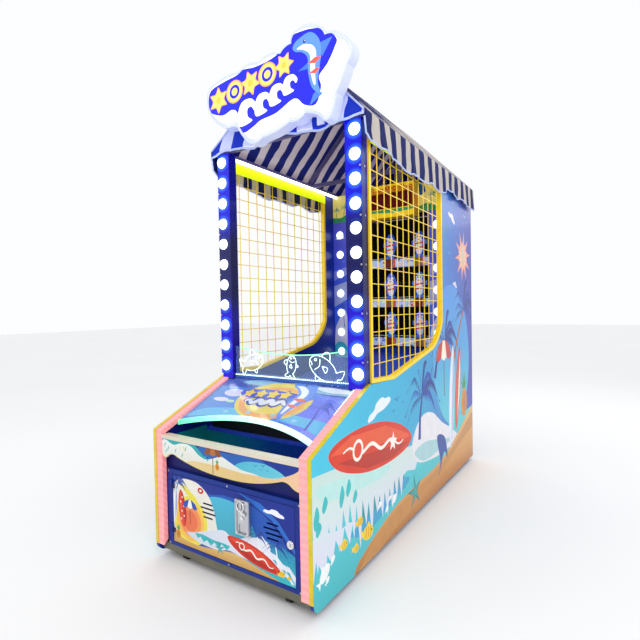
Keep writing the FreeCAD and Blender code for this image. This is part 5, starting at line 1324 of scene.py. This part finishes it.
def header_art(made):
    yellow, orange, red = "#f6cf28", "#f29a22", "#d6331f"
    box = front_face(1.700)
    rings = box.rings("header_panel")
    if rings:
        shapes = [(orange, [(-0.30, 2.12), (0.30, 2.12), (0.30, 2.16), (0.10, 2.19), (-0.14, 2.15),
                            (-0.30, 2.18)])]
        for k in range(9):
            x = -0.25 + 0.062 * k
            shapes += [(red, star(x, 2.165 + 0.012 * (k % 2), 0.026, 0.010, 6, 20 * k)),
                       (yellow, oval(x, 2.165 + 0.012 * (k % 2), 0.007, 0.007, 0, 10))]
        shapes += [("#3fae6c",
                    [(-0.30, 1.99), (-0.10, 2.0), (0.10, 1.985), (0.30, 2.0), (0.30, 2.015),
                     (-0.30, 2.015)])]
        # The header box's yellow print glows: painted light.
        decal("header_box_art", box, rings[0], shapes, {"base": ink(yellow, 0.25)})
    wall = front_face(1.790)
    for n, ring in enumerate(wall.rings("header_panel")):
        shapes = []
        for side in (-1, 1):
            shapes += [("#3fae6c",
                        [(side * 0.26, 1.97), (side * 0.50, 1.97), (side * 0.50, 2.03), (side * 0.40, 2.02),
                                    (side * 0.33, 2.045), (side * 0.26, 2.02)]),
                       ("#2a62b4", [(side * 0.28, 2.10), (side * 0.33, 2.13), (side * 0.31, 2.21),
                                    (side * 0.27, 2.21)])]
            shapes += palm((side * 0.37, 2.02), (side * 0.365, 2.10), 0.06,
                           ("#2a8f6a", "#2c7fa8", "#3fae6c"))
            shapes += palm((side * 0.44, 2.03), (side * 0.445, 2.085), 0.045,
                           ("#2a8f6a", "#3fae6c", "#2c7fa8"))
        # The header wall's print glows: painted light.
        decal(f"header_wall_art_{n + 1}", wall, ring, shapes, {"base": ink("#f0e07a", 0.2)})
    # The darker and lighter red stripes are painted shade and light of the pleats' folds.
    cloth = cloth_material("red_pleats", "#5a1012", "#7c1a18", 0.030, 0.4)
    rows, uvs = [], []
    for j in range(7):
        row, line = [], []
        for i in range(241):
            x = -0.262 + 0.524 * i / 240
            fold = 0.006 + 0.005 * math.sin(x * 190.0) + 0.0015 * math.sin(x * 67.0)
            row.append((x, FRONT + 1.700 - 0.001 - fold, 2.020 + 0.115 * j / 6))
            line.append((x * 1.4, 0.115 * j / 6))
        rows.append(row)
        uvs.append(line)
    curtain = grid_sheet("header_pleats", rows, uvs, cloth, 0.0012, -1.0)


def pilaster_art(made):
    face = front_face(1.790)
    for n, outline in enumerate(face.rings("pilasters")):
        x = sum(p[0] for p in outline) / len(outline)
        x = math.copysign(0.412, x)
        shapes = [("#8f9cf0", [(x - 0.08, 1.50), (x + 0.08, 1.56), (x + 0.08, 1.62), (x - 0.08, 1.58)]),
                  ("#a9b8f4", [(x - 0.08, 1.28), (x + 0.08, 1.36), (x + 0.08, 1.50), (x - 0.08, 1.46)]),
                  ("#dfe4fa", spline([(x - 0.05, 0.88), (x - 0.055, 1.10), (x - 0.01, 1.20),
                                      (x + 0.03, 1.27), (x + 0.06, 1.18),
                                      (x + 0.06, 0.88)], 5)),
                  ("#46c4d0", spline([(x - 0.06, 0.85), (x - 0.06, 0.97), (x + 0.0, 1.0), (x + 0.06, 0.95),
                                      (x + 0.06, 0.85)], 5))]
        shapes += [("#8fe0e6", gull(x + dx, z, w)) for dx, z,
                   w in ((0.01, 1.72, 0.05), (-0.02, 1.69, 0.035), (0.03, 1.66, 0.03))]
        shapes += palm((x + 0.03, 1.12), (x + 0.01, 1.29), 0.06, ("#3a4fc4", "#3a4fc4", "#5468d8"))
        shapes += [("#eef0fa", cloud(x, 1.86, 0.08, 0.035))]
        decal(f"pilaster_art_{n + 1}", face, outline, shapes, {"base": made["pilaster_print"]})


def shelf_art(made):
    face = front_face(1.850)
    draw = random.Random(5)
    for n, outline in enumerate(sorted(face.rings("target_shelves"), key=lambda ring: ring[0][1])):
        low, high = min(p[1] for p in outline), max(p[1] for p in outline)
        if high - low > 0.2:
            continue
        shapes = []
        for k in range(70):
            x, y = draw.uniform(-0.47, 0.47), draw.uniform(low, high)
            code = draw.choice(("#f4f6fb", "#5d86e0", "#9fc0f0", "#e4564a", "#3f62c8", "#f0d9d2",
                                "#cfe0f8"))
            ring = [(x + draw.uniform(0.006, 0.022) * math.cos(a),
                     y + draw.uniform(0.006, 0.016) * math.sin(a))
                    for a in [0.9 * step for step in range(7)]]
            shapes.append((code, ring))
        for k, x in enumerate((-0.24, 0.0, 0.24)):
            shapes += [("#6e1418" if (k + n) % 2 else "#8a5a34",
                        [(x - 0.032, low), (x + 0.032, low), (x + 0.032, high),
                                                                 (x - 0.032, high)]),
                       ("#e0553c", [(x + 0.034, low), (x + 0.052, low), (x + 0.052, high),
                                    (x + 0.034, high)])]
        # The shelf print glows faintly: painted light.
        decal(f"shelf_art_{n + 1}", face, outline, shapes, {"base": ink("#b9cdf0", 0.12)})


def laid_on(piece, node):
    """Presses a flat sheet of art against the curved front of a CAD part."""
    source = NODES[node].data
    tree = bvhtree.BVHTree.FromPolygons([v.co for v in source.vertices],
                                        [p.vertices for p in source.polygons])
    mesh = bmesh.new()
    mesh.from_mesh(piece.data)
    for limit in (0.016, 0.008):
        long = [edge for edge in mesh.edges if edge.calc_length() > limit]
        bmesh.ops.subdivide_edges(mesh, edges=long, cuts=1)
    bmesh.ops.triangulate(mesh, faces=mesh.faces)
    for vertex in mesh.verts:
        hit = tree.ray_cast(Vector((vertex.co.x, vertex.co.y - 0.1, vertex.co.z)), Vector((0, 1, 0)))[0]
        if hit:
            vertex.co.y = hit.y - 0.0007
    mesh.to_mesh(piece.data)
    mesh.free()


def target_art(made):
    face = front_face(1.868)
    for body in [name for name in frame["bodies"] if name.startswith("target_")]:
        low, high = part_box(body)
        x, z = (low.x + high.x) / 2, low.z
        outline = moved(spline([(-0.026, 0.026), (-0.038, 0.07), (-0.040, 0.12), (-0.032, 0.165),
                                (-0.014, 0.190),
                                (0.014, 0.190), (0.032, 0.165), (0.040, 0.12), (0.038, 0.07),
                                (0.026, 0.026)], 5), x, z)
        shapes = [("#eef2fb",
                   spline([(-0.020, 0.03), (-0.026, 0.10), (-0.020, 0.145), (0.020, 0.145), (0.026, 0.10),
                                      (0.020, 0.03)], 5)),
                  ("#d83a34", [(-0.036, 0.095), (0.036, 0.104), (0.036, 0.117), (-0.036, 0.108)]),
                  ("#d83a34", [(-0.034, 0.062), (0.034, 0.071), (0.034, 0.083), (-0.034, 0.074)]),
                  ("#fdfdff", oval(-0.014, 0.158, 0.011, 0.012, 0, 16)),
                  ("#fdfdff", oval(0.014, 0.158, 0.011, 0.012, 0, 16)),
                  ("#0c1030", oval(-0.012, 0.157, 0.005, 0.006, 0, 12)),
                  ("#0c1030", oval(0.012, 0.157, 0.005, 0.006, 0, 12)),
                  ("#e46a3c", spline([(-0.014, 0.135), (0, 0.127), (0.014, 0.135), (0, 0.139)], 4))]
        shapes = [(code, moved(ring, x, z)) for code, ring in shapes]
        # The target's blue print glows faintly: painted light.
        piece = decal(f"{body}_art", face, outline, shapes, {"base": ink("#2450d0", 0.15)}, body)
        laid_on(piece, body)


def mesh_rails(made):
    """The lit rails along the top of each side window, below its tube."""
    glow = paint("lit_rail", "#dff000", 0.35, 0.05, 20.0, 200.0, 0.05, gloss=0.2, glow="#d8f000",
                 strength=0.55)
    for side, sign in (("left", -1), ("right", 1)):
        mesh = bmesh.new()
        bmesh.ops.create_cube(mesh, size=1.0)
        for vertex in mesh.verts:
            vertex.co = Vector((sign * 0.4625 + vertex.co.x * 0.003, FRONT + 1.108 + vertex.co.y * 1.085,
                                2.150 + vertex.co.z * 0.058))
        data = bpy.data.meshes.new(f"window_rail_{side}")
        mesh.to_mesh(data)
        mesh.free()
        data.materials.append(glow)
        piece = bpy.data.objects.new(f"window_rail_{side}", data)
        bpy.context.collection.objects.link(piece)
        soft = piece.modifiers.new("edges", "BEVEL")
        soft.width, soft.segments = 0.0012, 2
        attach(piece, "cabinet")


def fringe(made):
    """The black strips that stop the balls, in two staggered layers."""
    low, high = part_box("ball_curtain")
    black = paint("fringe_cloth", "#08080d", 0.75, 0.25, 30.0, 260.0, 0.25, sheen=0.05, gloss=0.15)
    draw = random.Random(9)
    verts, faces = [], []
    count, width = 40, 0.0205
    for n in range(count):
        x = low.x + (high.x - low.x) * (n + 0.5) / count
        phase, sway = draw.uniform(0, 6.28), draw.uniform(-0.002, 0.002)
        back = 0.0016 if n % 2 else -0.0016
        start = len(verts)
        for k in range(17):
            t = k / 16
            z = low.z + (high.z - low.z) * t
            drift = (1 - t) * (sway + 0.0015 * math.sin(5 * t + phase))
            bow = 0.0012 * math.sin(6 * t + phase) * (1 - t)
            y = (low.y + high.y) / 2 + back + bow
            verts += [(x - width / 2 + drift, y, z), (x + drift, y - 0.0008, z),
                      (x + width / 2 + drift, y, z)]
            if k:
                a = start + 3 * (k - 1)
                faces += [(a, a + 1, a + 4, a + 3), (a + 1, a + 2, a + 5, a + 4)]
    piece = new_object("ball_fringe", verts, faces, [black], "cabinet", smooth=True)
    solid = piece.modifiers.new("cloth", "SOLIDIFY")
    solid.thickness, solid.offset = 0.0008, 0.0
    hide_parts("ball_curtain")


EXTRAS = [fascia_art, door_art, coin_details, deck_art, shield_art, sign_art, header_art, pilaster_art,
          shelf_art, target_art,
          mesh_rails, fringe]


# ---------------------------------------------------------------- scene

def stage():
    new_stage_floor()
    world = bpy.data.worlds.new("studio")
    bpy.context.scene.world = world
    world.use_nodes = True
    background = world.node_tree.nodes["Background"]
    background.inputs[0].default_value = (0.98, 0.99, 1.0, 1)
    background.inputs[1].default_value = 1.0
    area_light("key", (3.4, -3.6, 4.2), (0.2, -0.4, 1.0), 2.6, 60)
    area_light("fill", (-3.6, -3.0, 2.6), (0, -0.4, 1.0), 3.0, 15)
    area_light("back", (1.5, 4.0, 3.8), (0, 0.5, 1.2), 3.0, 30)


def new_stage_floor():
    mesh = bpy.data.meshes.new("studio_floor")
    mesh.from_pydata([(-30, -30, 0), (30, -30, 0), (30, 30, 0), (-30, 30, 0)], [], [(0, 1, 2, 3)])
    mesh.materials.append(paint("floor_paint", "#f2f2f2", 0.6, 0.01, 0.4, 30.0, 0.01))
    floor = bpy.data.objects.new("studio_floor", mesh)
    bpy.context.collection.objects.link(floor)


bpy.context.scene.view_settings.view_transform = "Standard"
make_camera()
stage()
MADE = cad_materials()
side_art(MADE)
canopy(MADE)
for build in EXTRAS:
    build(MADE)
